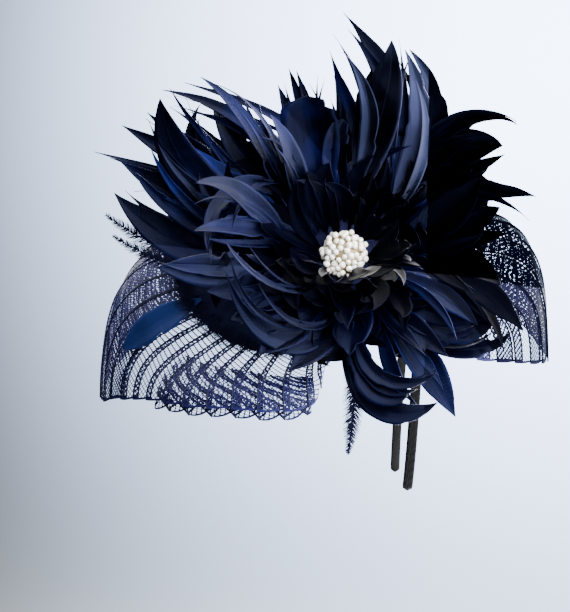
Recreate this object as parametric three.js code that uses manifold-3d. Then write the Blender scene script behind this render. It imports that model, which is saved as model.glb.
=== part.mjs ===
// A fascinator: pleated horsehair net and a feather flower with a pearl centre, on a thin headband.
// Millimetres. X to the wearer's left, -Y to the face, Z up.
// The origin is the inner face of the band, at the top of its arch.

import * as THREE from 'three';
import Module from 'manifold-3d';
import { mergeVertices } from 'three/addons/utils/BufferGeometryUtils.js';

const wasm = await Module();
wasm.setup();

// Sizes of the headband
const bandHalfWidth = 75;
const bandRise = 88;
const bandWidth = 6.5;
const bandThickness = 2;
const bandSweep = 124;
const bandLean = 4;
const bandEdge = 0.6;
const bandEndTaper = 4;

// Sizes of the net, measured from the band
const netWall = 1.2;
const frontReach = 211;
const backReach = 87;
const nearReach = 92;
const farReach = 95;
const rimDrop = 89;
const netSwell = 100;
const netFall = 85;
const gatherRadius = 30;
const pleatPitch = 16;
const pleatDepth = 2.4;
const toothDepth = 5;
const seatAngle = 58;
const underlayStart = 0.5;
const underlayHang = 4;

// Place and sizes of the flower
const gatherSide = 50;
const flowerAhead = 50;
const flowerHeight = 6;
const flowerTilt = 12;
const padRadius = 72;
const padHeight = 61;
const padShift = 36;
const padEdge = 1.6;
const padCrown = 5;
const padBarbs = 30;
const padBarbDepth = 5;
const wispStart = 42;
const backingRadius = 26;
const backingHeight = 9;
const flowerReach = 150;
const bladeThickness = 1.3;

// Sizes of the pearl cluster
const clusterRadius = 16;
const clusterHeight = 13;
const pearlRadius = 2.4;
const pearlCount = 30;

// Gap left between pieces that are sewn to each other
const clearance = 0.3;

const radians = THREE.MathUtils.degToRad;
const vec = (x, y, z) => new THREE.Vector3(x, y, z);

// The flower's own axes: ahead of its face, across to the back of the head, and up its face.
const flowerAxis = vec(Math.cos(radians(flowerTilt)), 0, Math.sin(radians(flowerTilt)));
const flowerAcross = vec(0, 1, 0);
const flowerUp = flowerAxis.clone().cross(flowerAcross);
const gatherCentre = vec(gatherSide, -flowerAhead, flowerHeight);

// A point at a clock angle, a radius and a height over a centre on the flower's axis.
function onFlower(centre, clock, radius, height) {
  const angle = radians(clock);
  return centre.clone()
    .addScaledVector(flowerAcross, radius * Math.cos(angle))
    .addScaledVector(flowerUp, radius * Math.sin(angle))
    .addScaledVector(flowerAxis, height);
}

function meshGeometry(points, triangles) {
  const geometry = new THREE.BufferGeometry();
  const positions = new Float32Array(points.length * 3);
  points.forEach((point, i) => point.toArray(positions, i * 3));
  geometry.setAttribute('position', new THREE.BufferAttribute(positions, 3));
  geometry.setIndex(triangles.flat());
  return geometry;
}

// A closed wall between two grids of points. grid[i][j] runs round with i and outwards with j.
function wallGeometry(outer, inner, closedRound) {
  const columns = outer.length;
  const rows = outer[0].length;
  const points = [...outer.flat(), ...inner.flat()];
  const top = (i, j) => (i % columns) * rows + j;
  const bottom = (i, j) => columns * rows + top(i, j);
  const triangles = [];
  const quad = (a, b, c, d) => triangles.push([a, b, c], [a, c, d]);
  const steps = closedRound ? columns : columns - 1;
  for (let i = 0; i < steps; i += 1) {
    for (let j = 0; j < rows - 1; j += 1) {
      quad(top(i, j), top(i, j + 1), top(i + 1, j + 1), top(i + 1, j));
      quad(bottom(i, j), bottom(i + 1, j), bottom(i + 1, j + 1), bottom(i, j + 1));
    }
    quad(top(i, 0), top(i + 1, 0), bottom(i + 1, 0), bottom(i, 0));
    quad(top(i, rows - 1), bottom(i, rows - 1), bottom(i + 1, rows - 1), top(i + 1, rows - 1));
  }
  if (!closedRound) {
    for (let j = 0; j < rows - 1; j += 1) {
      quad(top(0, j), bottom(0, j), bottom(0, j + 1), top(0, j + 1));
      quad(top(steps, j), top(steps, j + 1), bottom(steps, j + 1), bottom(steps, j));
    }
  }
  return meshGeometry(points, triangles);
}

// A closed tube through rings of points, with flat ends.
function ringsGeometry(rings) {
  const sides = rings[0].length;
  const points = rings.flat();
  const triangles = [];
  for (let i = 0; i < rings.length - 1; i += 1) {
    for (let k = 0; k < sides; k += 1) {
      const next = (k + 1) % sides;
      const a = i * sides + k;
      const b = i * sides + next;
      triangles.push([a, b, b + sides], [a, b + sides, a + sides]);
    }
  }
  const last = (rings.length - 1) * sides;
  for (let k = 1; k < sides - 1; k += 1) {
    triangles.push([0, k + 1, k], [last, last + k, last + k + 1]);
  }
  return meshGeometry(points, triangles);
}

// Signed volume, to see whether a closed surface faces outwards.
function signedVolume(geometry) {
  const position = geometry.getAttribute('position');
  const index = geometry.getIndex();
  const a = vec(0, 0, 0);
  const b = vec(0, 0, 0);
  const c = vec(0, 0, 0);
  let sum = 0;
  for (let i = 0; i < index.count; i += 3) {
    a.fromBufferAttribute(position, index.getX(i));
    b.fromBufferAttribute(position, index.getX(i + 1));
    c.fromBufferAttribute(position, index.getX(i + 2));
    sum += a.dot(b.cross(c)) / 6;
  }
  return sum;
}

function facingOut(geometry) {
  if (signedVolume(geometry) > 0) {
    return geometry;
  }
  const turned = geometry.getIndex().array;
  for (let i = 0; i < turned.length; i += 3) {
    [turned[i + 1], turned[i + 2]] = [turned[i + 2], turned[i + 1]];
  }
  return geometry;
}

// Booleans on closed meshes
function toSolid(geometry) {
  const bare = geometry.clone();
  bare.deleteAttribute('normal');
  bare.deleteAttribute('uv');
  const merged = facingOut(mergeVertices(bare, 1e-4));
  const vertProperties = new Float32Array(merged.getAttribute('position').array);
  const triVerts = new Uint32Array(merged.getIndex().array);
  return new wasm.Manifold(new wasm.Mesh({ numProp: 3, vertProperties, triVerts }));
}

function toGeometry(solid) {
  const mesh = solid.getMesh();
  const geometry = new THREE.BufferGeometry();
  geometry.setAttribute('position', new THREE.BufferAttribute(new Float32Array(mesh.vertProperties), 3));
  geometry.setIndex(new THREE.BufferAttribute(new Uint32Array(mesh.triVerts), 1));
  return geometry;
}

function fuse(geometries) {
  return geometries.map(toSolid).reduce((sum, solid) => sum.add(solid));
}

// Fills the small hollows that are closed in where many strips cross: their walls are the shells
// with less volume than the outside one.
function filled(solid) {
  return solid.decompose().sort((a, b) => b.volume() - a.volume())[0];
}

// The headband: an arc of an ellipse past its widest level, in a plane that leans with its tips ahead.
function bandPoint(sweep, outwards) {
  const angle = radians(sweep);
  const across = (bandHalfWidth + outwards) * Math.sin(angle);
  const down = bandRise - (bandRise + outwards) * Math.cos(angle);
  return vec(across, -down * Math.sin(radians(bandLean)), -down * Math.cos(radians(bandLean)));
}

function headband() {
  const steps = 32;
  const tipShare = 0.55;
  const edge = bandEdge;
  const rings = [];
  for (let i = 0; i <= steps; i += 1) {
    const sweep = bandSweep * (2 * i / steps - 1);
    const fromTip = bandSweep - Math.abs(sweep);
    const half = bandWidth / 2 * Math.min(1, tipShare + (1 - tipShare) * fromTip / bandEndTaper);
    const section = [
      [0, -half + edge], [0, half - edge], [edge, half],
      [bandThickness - edge, half], [bandThickness, half - edge],
      [bandThickness, -half + edge], [bandThickness - edge, -half], [edge, -half],
    ];
    const aside = vec(0, Math.cos(radians(bandLean)), -Math.sin(radians(bandLean)));
    rings.push(section.map(([out, side]) => bandPoint(sweep, out).addScaledVector(aside, side)));
  }
  return facingOut(ringsGeometry(rings));
}

// Where the net is stitched to the outside of the band
const bandSeat = bandPoint(seatAngle, bandThickness + clearance + netWall / 2);

// The net's rim, one row for each main fold, from the stitches round the near side to the front,
// the far side and the back. clock is where the fold leaves the flower, swell how far out it goes
// before it turns, as a share of netSwell; side, ahead and drop place its rim, as shares of
// nearReach or farReach, frontReach or backReach, and rimDrop; fall is the height that it falls
// from, as a share of netFall, and pleat how deep its pleats are.
const netFolds = [
  { clock: 284, swell: 0.60, seat: true, fall: 0.12, pleat: 0.0 },
  { clock: 266, swell: 0.70, side: 0.85, ahead: -0.265, drop: 0.58, fall: 0.18, pleat: 0.5 },
  { clock: 252, swell: 0.82, side: 0.96, ahead: -0.330, drop: 0.92, fall: 0.28, pleat: 1.0 },
  { clock: 239, swell: 0.93, side: 1.00, ahead: -0.448, drop: 0.99, fall: 0.34, pleat: 1.0 },
  { clock: 227, swell: 1.00, side: 0.98, ahead: -0.570, drop: 0.98, fall: 0.34, pleat: 1.0 },
  { clock: 218, swell: 1.04, side: 0.91, ahead: -0.690, drop: 0.97, fall: 0.28, pleat: 1.0 },
  { clock: 211, swell: 1.08, side: 0.78, ahead: -0.777, drop: 0.93, fall: 0.24, pleat: 1.0 },
  { clock: 203, swell: 1.12, side: 0.56, ahead: -0.853, drop: 0.91, fall: 0.36, pleat: 1.0 },
  { clock: 195, swell: 1.18, side: 0.30, ahead: -0.928, drop: 0.90, fall: 0.54, pleat: 1.0 },
  { clock: 184, swell: 1.26, side: 0.00, ahead: -0.981, drop: 0.93, fall: 0.86, pleat: 1.0 },
  { clock: 171, swell: 1.30, side: -0.28, ahead: -0.985, drop: 0.80, fall: 1.00, pleat: 1.0 },
  { clock: 157, swell: 1.20, side: -0.62, ahead: -0.850, drop: 0.40, fall: 0.94, pleat: 1.0 },
  { clock: 132, swell: 0.95, side: -0.90, ahead: -0.590, drop: 0.06, fall: 0.82, pleat: 1.0 },
  { clock: 90, swell: 0.80, side: -1.00, ahead: -0.260, drop: -0.06, fall: 0.70, pleat: 1.0 },
  { clock: 54, swell: 0.95, side: -0.84, ahead: 0.170, drop: 0.00, fall: 0.70, pleat: 1.0 },
  { clock: 33, swell: 1.18, side: -0.48, ahead: 0.760, drop: 0.28, fall: 0.84, pleat: 1.0 },
  { clock: 18, swell: 1.30, side: -0.06, ahead: 0.990, drop: 0.58, fall: 1.00, pleat: 1.0 },
  { clock: 0, swell: 1.16, side: 0.30, ahead: 0.920, drop: 0.64, fall: 0.66, pleat: 1.0 },
  { clock: -17, swell: 1.00, side: 0.57, ahead: 0.690, drop: 0.63, fall: 0.46, pleat: 1.0 },
  { clock: -33, swell: 0.85, side: 0.79, ahead: 0.370, drop: 0.60, fall: 0.34, pleat: 1.0 },
  { clock: -52, swell: 0.70, side: 0.88, ahead: 0.160, drop: 0.52, fall: 0.24, pleat: 0.5 },
];

function rimPoint(fold) {
  if (fold.seat) {
    return bandSeat;
  }
  const side = fold.side > 0 ? nearReach : farReach;
  const length = fold.ahead < 0 ? frontReach : backReach;
  return vec(fold.side * side, fold.ahead * length, -fold.drop * rimDrop);
}

// A smooth closed curve through one value of each fold, at a place counted in folds.
function roundFolds(value, place) {
  const count = netFolds.length;
  const start = Math.floor(place);
  const t = place - start;
  const at = (k) => {
    const row = start + k;
    const turns = Math.floor(row / count);
    return value(netFolds[row - turns * count], turns);
  };
  const [a, b, c, d] = [at(-1), at(0), at(1), at(2)];
  return b + 0.5 * t * (c - a + t * (2 * a - 5 * b + 4 * c - d + t * (3 * (b - c) + d - a)));
}

const clockAt = (place) => roundFolds((fold, turns) => fold.clock - 360 * turns, place);
const columnAt = (name, place) => roundFolds((fold) => fold[name], place);
const rimAt = (place) => vec(
  roundFolds((fold) => rimPoint(fold).x, place),
  roundFolds((fold) => rimPoint(fold).y, place),
  roundFolds((fold) => rimPoint(fold).z, place),
);

// The net without its pleats: each fold runs out behind the flower's pad, turns, and falls to the rim.
function netPoint(place, along) {
  const clock = clockAt(place);
  const rim = rimAt(place);
  const fold = new THREE.CubicBezierCurve3(
    onFlower(gatherCentre, clock, gatherRadius, 0),
    onFlower(gatherCentre, clock, netSwell * columnAt('swell', place), 0),
    rim.clone().add(vec(0, 0, netFall * columnAt('fall', place))),
    rim,
  );
  return fold.getPoint(along);
}

// Outward direction of the net, from two short steps on its surface.
const hollowCentre = vec(0, (backReach - frontReach) / 2, -rimDrop / 3);
function netNormal(place, along) {
  const step = 0.01;
  const inner = Math.min(along, 1 - step);
  const point = netPoint(place, inner);
  const round = netPoint(place + step, inner).sub(point);
  const outwards = netPoint(place, inner + step).sub(point);
  const normal = round.cross(outwards).normalize();
  return normal.dot(point.sub(hollowCentre)) < 0 ? normal.negate() : normal;
}

// The rim's length, and the place on it at a share of that length
const rimSteps = 600;
const rimLengths = [0];
for (let i = 1; i <= rimSteps; i += 1) {
  const before = rimAt(netFolds.length * (i - 1) / rimSteps);
  const here = rimAt(netFolds.length * i / rimSteps);
  rimLengths.push(rimLengths[i - 1] + here.distanceTo(before));
}
const rimLength = rimLengths[rimSteps];
const pleatCount = Math.round(rimLength / pleatPitch);

function placeAlongRim(share) {
  const length = rimLength * share;
  const i = Math.min(rimSteps, Math.max(1, rimLengths.findIndex((sum) => sum >= length)));
  const within = (length - rimLengths[i - 1]) / (rimLengths[i] - rimLengths[i - 1]);
  return netFolds.length * (i - 1 + within) / rimSteps;
}

// A knife pleat rises slowly over most of its width and drops back at once.
const pleatRise = 0.75;
function pleatShape(phase) {
  const within = phase - Math.floor(phase);
  return within < pleatRise ? within / pleatRise : (1 - within) / (1 - pleatRise);
}

// A wall of net through a grid of places; lift gives how far each point stands off the plain net,
// and hang how far it drops below the rim.
function netLayer(shares, alongs, lift, hang, closedRound) {
  const outer = [];
  const inner = [];
  for (const share of shares) {
    const place = placeAlongRim(share);
    const column = alongs.map((along) => {
      const point = netPoint(place, along).add(vec(0, 0, -hang(share, along)));
      const normal = netNormal(place, along);
      point.addScaledVector(normal, lift(share, along, place));
      return [
        point.clone().addScaledVector(normal, netWall / 2),
        point.clone().addScaledVector(normal, -netWall / 2),
      ];
    });
    outer.push(column.map((pair) => pair[0]));
    inner.push(column.map((pair) => pair[1]));
  }
  return { geometry: facingOut(wallGeometry(outer, inner, closedRound)), outer };
}

function crinBrim() {
  const shares = [];
  for (let i = 0; i < pleatCount; i += 1) {
    shares.push(i / pleatCount, (i + pleatRise) / pleatCount);
  }
  const alongs = [0, 0.22, 0.42, 0.6, 0.76, 0.89, 1];
  const lift = (share, along, place) => (
    pleatDepth * along * Math.max(0, columnAt('pleat', place)) * pleatShape(share * pleatCount)
  );
  return netLayer(shares, alongs, lift, () => 0, true);
}

// The underlay hangs inside the near front of the brim. Its pleats cross the brim's, because each
// one starts later the further it is from the rim.
const underlayFrom = 2;
const underlayTo = 6.4;
const underlaySlant = 1.6;
const underlayColumns = 3;
const hemSharpness = 4;
function crinUnderlay() {
  const shareAt = (place) => rimLengths[Math.round(rimSteps * place / netFolds.length)] / rimLength;
  const first = shareAt(underlayFrom);
  const last = shareAt(underlayTo);
  const steps = underlayColumns * Math.round((last - first) * pleatCount);
  const shares = [];
  for (let i = 0; i <= steps; i += 1) {
    shares.push(first + (last - first) * i / steps);
  }
  const alongs = [underlayStart, 0.66, 0.78, 0.88, 0.95, 1];
  const phase = (share, along) => (share - first) * pleatCount + underlaySlant * (1 - along);
  const lift = (share, along) => (
    -(netWall + 2 * clearance) - pleatDepth * along * pleatShape(phase(share, along))
  );
  const hang = (share, along) => {
    const hem = Math.max(0, along - underlayStart) / (1 - underlayStart);
    return hem ** hemSharpness * (underlayHang + toothDepth * pleatShape(phase(share, along)));
  };
  return netLayer(shares, alongs, lift, hang, false).geometry;
}

const brim = crinBrim();

// Points spread over the facets of the net's outer face
const facetSteps = 5;
function facetPoints(outer) {
  const points = [];
  const spread = (a, b, c) => {
    for (let i = 0; i <= facetSteps; i += 1) {
      for (let j = 0; j <= facetSteps - i; j += 1) {
        const shares = [i / facetSteps, j / facetSteps];
        points.push(a.clone().multiplyScalar(1 - shares[0] - shares[1])
          .addScaledVector(b, shares[0])
          .addScaledVector(c, shares[1]));
      }
    }
  };
  outer.forEach((column, i) => {
    const next = outer[(i + 1) % outer.length];
    for (let j = 0; j < column.length - 1; j += 1) {
      spread(column[j], column[j + 1], next[j + 1]);
      spread(column[j], next[j + 1], next[j]);
    }
  });
  return points;
}

// The pad is an oval that lies on the net: it sits as low as the highest fold behind it lets it.
const padCentre = gatherCentre.clone().addScaledVector(flowerAcross, -padShift);
const padBack = facetPoints(brim.outer).reduce((highest, point) => {
  const offset = point.sub(padCentre);
  const across = offset.dot(flowerAcross) / padRadius;
  const up = offset.dot(flowerUp) / padHeight;
  return Math.hypot(across, up) < 1 ? Math.max(highest, offset.dot(flowerAxis)) : highest;
}, 0) + clearance;

// One feather: a thin cupped strip along a curved quill. root, bend and tip are clock angles that the
// quill leaves at, bends towards and ends at. open says how early it runs out to its reach; reach is
// its length from the flower's centre and width its widest, as shares of flowerReach. belly is where
// it is widest and point how sharp its tip is; rise and curl lift it off the flower's face, as shares
// of flowerReach, and roll turns it about its quill.
const featherColumns = [
  'root', 'bend', 'tip', 'open', 'reach', 'width', 'belly', 'point', 'rise', 'curl', 'roll',
];
const featherRow = (row) => Object.fromEntries(featherColumns.map((name, k) => [name, row[k]]));

const bladeSteps = 6;
const bladeCup = 0.16;
const bladeStart = 0.8;
const bladeTip = 0.5;
const rootLift = 0.1;
const riseLift = 1.4;
function bladeGeometry(centre, feather, startRadius) {
  const quill = (s) => onFlower(
    centre,
    feather.root * (1 - s) ** 2 + 2 * feather.bend * s * (1 - s) + feather.tip * s * s,
    startRadius + (feather.reach * flowerReach - startRadius) * (1 - (1 - s) ** feather.open),
    backingHeight * (rootLift + riseLift * feather.rise)
      + flowerReach * (feather.rise * s + feather.curl * s * s),
  );
  const flare = feather.point * feather.belly / (1 - feather.belly);
  const step = 0.01;
  const rings = [];
  for (let i = 0; i <= bladeSteps; i += 1) {
    const s = i / bladeSteps;
    const forwards = quill(Math.min(1, s + step)).sub(quill(Math.max(0, s - step))).normalize();
    const flat = flowerAxis.clone().cross(forwards).normalize();
    const up = forwards.clone().cross(flat);
    const turn = radians(feather.roll);
    const aside = flat.clone().multiplyScalar(Math.cos(turn)).addScaledVector(up, Math.sin(turn));
    const face = forwards.clone().cross(aside);
    const opening = (Math.max(s, step) / feather.belly) ** flare;
    const closing = ((1 - s) / (1 - feather.belly)) ** feather.point;
    const half = Math.max(bladeTip, feather.width * flowerReach * opening * closing / 2);
    const cup = bladeCup * half;
    const point = quill(s);
    rings.push([
      point.clone().addScaledVector(aside, -half).addScaledVector(face, cup),
      point.clone().addScaledVector(face, -bladeThickness / 2),
      point.clone().addScaledVector(aside, half).addScaledVector(face, cup),
      point.clone().addScaledVector(face, bladeThickness / 2),
    ]);
  }
  return facingOut(ringsGeometry(rings));
}

// A round form on the flower's axis through rows of radius and height, with a flat back and top
function roundForm(centre, rows, sides) {
  const rings = rows.map(([radius, height]) => {
    const ring = [];
    for (let k = 0; k < sides; k += 1) {
      ring.push(onFlower(centre, 360 * k / sides, radius, height));
    }
    return ring;
  });
  return facingOut(ringsGeometry(rings));
}

// The thin herls at the left and the hackle that hangs below grow from the pad.
const wisps = [
  [181, 176, 169, 1.0, 1.02, 0.06, 0.5, 1, 0.00, 0.02, 0],
  [186, 181, 174, 1.0, 0.97, 0.05, 0.5, 1, 0.00, 0.01, 0],
  [276, 275, 271, 1.0, 0.82, 0.07, 0.5, 1, 0.02, 0.00, 0],
].map(featherRow);

// The pad from its back to its crown: shares of its size, and of padEdge and padCrown. Its crown lies
// under the flower, so each ring moves back from the oval's centre as it shrinks.
const padRows = [
  { size: 0.125, edge: 0, crown: 0 },
  { size: 1, edge: 0, crown: 0 },
  { size: 1, edge: 1, crown: 0 },
  { size: 0.5, edge: 1, crown: 0.88 },
  { size: 0.36, edge: 1, crown: 1 },
];
function padDisc() {
  const rings = padRows.map(({ size, edge, crown }) => {
    const ring = [];
    for (let k = 0; k < 2 * padBarbs; k += 1) {
      const angle = Math.PI * k / padBarbs;
      const barb = k % 2 && size === 1 ? 1 - padBarbDepth / padRadius : 1;
      ring.push(gatherCentre.clone()
        .addScaledVector(flowerAcross, size * (barb * padRadius * Math.cos(angle) - padShift))
        .addScaledVector(flowerUp, size * barb * padHeight * Math.sin(angle))
        .addScaledVector(flowerAxis, padBack + edge * padEdge + crown * padCrown));
    }
    return ring;
  });
  return facingOut(ringsGeometry(rings));
}

function featherPad() {
  const front = gatherCentre.clone().addScaledVector(flowerAxis, padBack + padEdge);
  const strips = wisps.map((wisp) => bladeGeometry(front, wisp, wispStart));
  return toGeometry(fuse([padDisc(), ...strips]));
}

// The feathers of the flower, round the clock from the spikes at the front over the top to the
// back and the ones that hang below; then the ones that arch in front of them.
const longFeathers = [
  [149, 154, 157.5, 1.0, 1.13, 0.06, 0.50, 1.2, 0.10, 0.00, 20],
  [150, 149, 150, 1.0, 1.07, 0.10, 0.60, 1.2, 0.12, 0.02, 10],
  [145, 145, 143.5, 1.0, 1.03, 0.09, 0.60, 1.2, 0.08, 0.00, 0],
  [112, 121, 138, 1.0, 1.02, 0.07, 0.55, 1.1, 0.16, 0.00, 0],
  [166, 162, 158, 1.0, 1.00, 0.15, 0.55, 1.1, 0.14, 0.00, 0],
  [186, 184, 166, 1.0, 0.98, 0.21, 0.50, 1.1, 0.16, 0.00, 0],
  [180, 176, 160.5, 1.0, 0.91, 0.07, 0.60, 0.7, 0.22, 0.00, 0],
  [135, 138, 130, 1.0, 0.86, 0.16, 0.45, 1.0, 0.10, 0.00, 0],
  [110, 110, 110.5, 1.0, 0.785, 0.10, 0.50, 1.1, 0.08, 0.00, 0],
  [104, 103, 106, 1.0, 0.83, 0.07, 0.60, 1.1, 0.10, 0.00, 0],
  [112, 106, 104, 1.0, 0.64, 0.24, 0.80, 0.25, 0.22, 0.04, 0],
  [84, 80, 93, 1.0, 0.755, 0.13, 0.60, 1.2, 0.14, 0.00, 0],
  [86, 84, 80, 1.0, 0.83, 0.12, 0.50, 1.2, 0.16, 0.00, 0],
  [45, 66, 90, 1.0, 1.00, 0.15, 0.55, 1.5, 0.20, 0.02, 0],
  [82, 70, 77, 1.0, 0.86, 0.20, 0.58, 1.0, 0.32, 0.00, -20],
  [42, 50, 73, 1.0, 0.86, 0.12, 0.55, 1.1, 0.26, 0.00, -10],
  [50, 32, 72, 1.0, 0.89, 0.09, 0.68, 0.9, 0.20, 0.00, -15],
  [47, 61, 35, 1.3, 0.865, 0.09, 0.60, 1.0, 0.26, 0.00, -20],
  [40, 52, 33, 1.1, 0.78, 0.22, 0.60, 0.9, 0.20, 0.00, 0],
  [25, 32, 13, 1.0, 0.79, 0.11, 0.60, 1.2, 0.30, 0.00, 10],
  [2, 5, 13, 1.0, 0.645, 0.13, 0.72, 0.9, 0.26, 0.00, 0],
  [0, 4, 5, 1.0, 0.67, 0.13, 0.50, 1.1, 0.18, 0.00, 0],
  [16, -4, -16, 1.0, 0.65, 0.14, 0.65, 1.0, 0.26, 0.00, 0],
  [352, 348, 333, 1.0, 0.80, 0.14, 0.60, 1.1, 0.24, 0.00, 0],
  [320, 322, 331, 1.0, 0.68, 0.28, 0.60, 0.8, 0.22, -0.04, 0],
  [298, 313, 332, 1.6, 0.755, 0.08, 0.65, 1.2, 0.18, 0.00, 0],
  [309, 305, 302.5, 1.0, 0.825, 0.14, 0.62, 1.1, 0.18, -0.04, 0],
  [275, 275, 292, 1.8, 0.665, 0.13, 0.60, 1.1, 0.24, -0.06, 10],
  [271, 271, 300, 2.2, 0.74, 0.10, 0.66, 1.1, 0.22, -0.06, 0],
  [280, 276, 272, 1.0, 0.45, 0.18, 0.55, 0.9, 0.18, 0.00, 0],
  [262, 255, 246, 1.0, 0.56, 0.16, 0.50, 1.1, 0.16, 0.00, 0],
  [240, 236, 232, 1.0, 0.57, 0.17, 0.55, 1.0, 0.18, 0.02, 0],
  [222, 218, 213, 1.0, 0.56, 0.18, 0.50, 1.0, 0.18, 0.00, 0],
  [206, 204, 198, 1.0, 0.60, 0.16, 0.50, 1.1, 0.18, 0.00, 0],
].map(featherRow);
const archedFeathers = [
  [165, 164, 141, 1.0, 0.98, 0.19, 0.62, 0.95, 0.22, 0.02, -15],
  [144, 121, 131, 1.0, 0.90, 0.09, 0.45, 1.0, 0.30, 0.02, 25],
  [184, 141, 161.5, 1.0, 0.64, 0.10, 0.50, 0.9, 0.38, 0.02, 15],
  [160, 166, 178, 1.0, 0.615, 0.10, 0.50, 1.0, 0.34, 0.00, 5],
  [128, 137, 185, 2.5, 0.56, 0.09, 0.60, 1.0, 0.30, 0.00, 10],
  [195, 191, 187, 1.0, 0.77, 0.15, 0.58, 1.0, 0.22, 0.00, 0],
  [-4, 17, 24, 1.0, 0.60, 0.18, 0.55, 0.9, 0.36, 0.00, 10],
  [266, 246, 194, 3.0, 0.50, 0.11, 0.45, 1.4, 0.26, 0.06, 0],
].map(featherRow);

// A ring of short feathers, all alike, stands round the pearls.
const shortFeatherCount = 8;
const shortFeather = featherRow([0, 0, 0, 1, 0.27, 0.13, 0.55, 1, 0.20, 0.02, 0]);
const shortFeathers = Array.from({ length: shortFeatherCount }, (_, k) => {
  const clock = 360 * k / shortFeatherCount;
  return { ...shortFeather, root: clock, bend: clock, tip: clock };
});

// Everything of the flower is stacked on the pad, outwards from its crown.
const flowerBase = gatherCentre.clone()
  .addScaledVector(flowerAxis, padBack + padEdge + padCrown + clearance);
const clusterBase = backingHeight + clearance;

// The backing's side, as shares of backingRadius and backingHeight
const backingRows = [[1, 0.35], [0.8, 0.75], [0.46, 1]];
function featherFlower() {
  const backing = roundForm(flowerBase, [
    [backingRadius, 0],
    ...backingRows.map(([radius, height]) => [radius * backingRadius, height * backingHeight]),
  ], 24);
  const feathers = [...longFeathers, ...archedFeathers, ...shortFeathers];
  const blades = feathers.map((feather) => (
    bladeGeometry(flowerBase, feather, bladeStart * backingRadius)
  ));
  const roomForPearls = roundForm(flowerBase, [
    [clusterRadius + clearance, backingHeight + clearance / 2],
    [clusterRadius + clearance, backingHeight + 3 * clusterHeight],
  ], 32);
  return toGeometry(filled(fuse([backing, ...blades]).subtract(toSolid(roomForPearls))));
}

// The pearls sit on a dome, evenly spread along a spiral from its top.
const goldenTurn = 180 * (3 - Math.sqrt(5));
// The dome's side, as shares of its radius and height
const domeRows = [[1, 0], [0.85, 0.55], [0.4, 0.92]];
function pearlCluster() {
  const domeRadius = clusterRadius - pearlRadius;
  const domeHeight = clusterHeight - pearlRadius;
  const core = roundForm(flowerBase, [
    [domeRadius, clusterBase],
    ...domeRows.map(([radius, height]) => [
      radius * domeRadius,
      clusterBase + pearlRadius + height * (domeHeight - pearlRadius),
    ]),
  ], 12);
  const pearls = [];
  for (let i = 0; i < pearlCount; i += 1) {
    const share = (i + 0.5) / pearlCount;
    const lean = Math.acos(1 - share);
    const pearl = new THREE.SphereGeometry(pearlRadius, 10, 4);
    const place = onFlower(
      flowerBase,
      goldenTurn * i,
      domeRadius * Math.sin(lean),
      clusterBase + pearlRadius + (domeHeight - pearlRadius) * Math.cos(lean),
    );
    pearl.translate(place.x, place.y, place.z);
    pearls.push(pearl);
  }
  return toGeometry(filled(fuse([core, ...pearls])));
}

// Colours and finishes
const blackSatin = new THREE.MeshStandardMaterial({ color: 0x14120f, roughness: 0.45, metalness: 0 });
const navyNet = new THREE.MeshStandardMaterial({ color: 0x23264f, roughness: 0.5, metalness: 0 });
const innerNet = new THREE.MeshStandardMaterial({ color: 0x2c3060, roughness: 0.5, metalness: 0 });
const darkFeather = new THREE.MeshStandardMaterial({ color: 0x0d0f24, roughness: 0.8, metalness: 0 });
const navyFeather = new THREE.MeshStandardMaterial({ color: 0x1a2150, roughness: 0.4, metalness: 0 });
const pearl = new THREE.MeshStandardMaterial({ color: 0xefeae0, roughness: 0.2, metalness: 0 });

const fascinator = new THREE.Group();
function addPiece(name, geometry, material) {
  geometry.computeVertexNormals();
  const piece = new THREE.Mesh(geometry, material);
  piece.name = name;
  fascinator.add(piece);
}
addPiece('headband', headband(), blackSatin);
addPiece('crin_brim', brim.geometry, navyNet);
addPiece('crin_underlay', crinUnderlay(), innerNet);
addPiece('feather_pad', featherPad(), darkFeather);
addPiece('feather_flower', featherFlower(), navyFeather);
addPiece('pearl_cluster', pearlCluster(), pearl);

export default fascinator;
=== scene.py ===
# %% [markdown]
# # A feather and horsehair-net headpiece
#
# The piece is a thin satin headband that carries a pleated net brim and a big feather flower with a
# pearl centre. Everything below is built around a packed construction model, the frame: its band,
# net, pad, flower and pearls already have their real places. Each soft one is replaced here by a
# surface worked out with numpy, because cloth, net and feathers need far finer forms than the
# construction model carries.

# %% Load the construction model
import math
import bpy
import numpy as np
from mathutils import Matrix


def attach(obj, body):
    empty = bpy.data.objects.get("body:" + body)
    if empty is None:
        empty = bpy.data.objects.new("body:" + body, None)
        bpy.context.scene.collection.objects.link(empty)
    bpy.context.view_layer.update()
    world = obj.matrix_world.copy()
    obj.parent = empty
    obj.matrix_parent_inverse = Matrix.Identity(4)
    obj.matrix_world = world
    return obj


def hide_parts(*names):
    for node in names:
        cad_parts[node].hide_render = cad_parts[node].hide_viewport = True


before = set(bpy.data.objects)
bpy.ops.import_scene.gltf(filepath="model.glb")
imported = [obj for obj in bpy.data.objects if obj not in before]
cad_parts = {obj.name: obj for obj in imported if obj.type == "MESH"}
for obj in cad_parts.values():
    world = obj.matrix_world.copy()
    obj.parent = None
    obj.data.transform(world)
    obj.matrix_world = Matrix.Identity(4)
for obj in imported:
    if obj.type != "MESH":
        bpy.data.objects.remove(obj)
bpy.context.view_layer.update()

MM = 0.001

# %% [markdown]
# ## Camera
#
# The headpiece is seen level, square on to the side that carries the flower. A long lens keeps the
# net lobes from bending towards the eye. The lens follows from two things: how far the camera stands
# from the middle of the head, and how many millimetres the picture spans there.

# %% Camera
PICTURE_WIDTH_PX = 570
PX_PER_MM = 1.5
CAMERA_DISTANCE = 1200 * MM
PICTURE_CENTRE = np.array([0.0, -86.7, -20.7]) * MM

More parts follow.
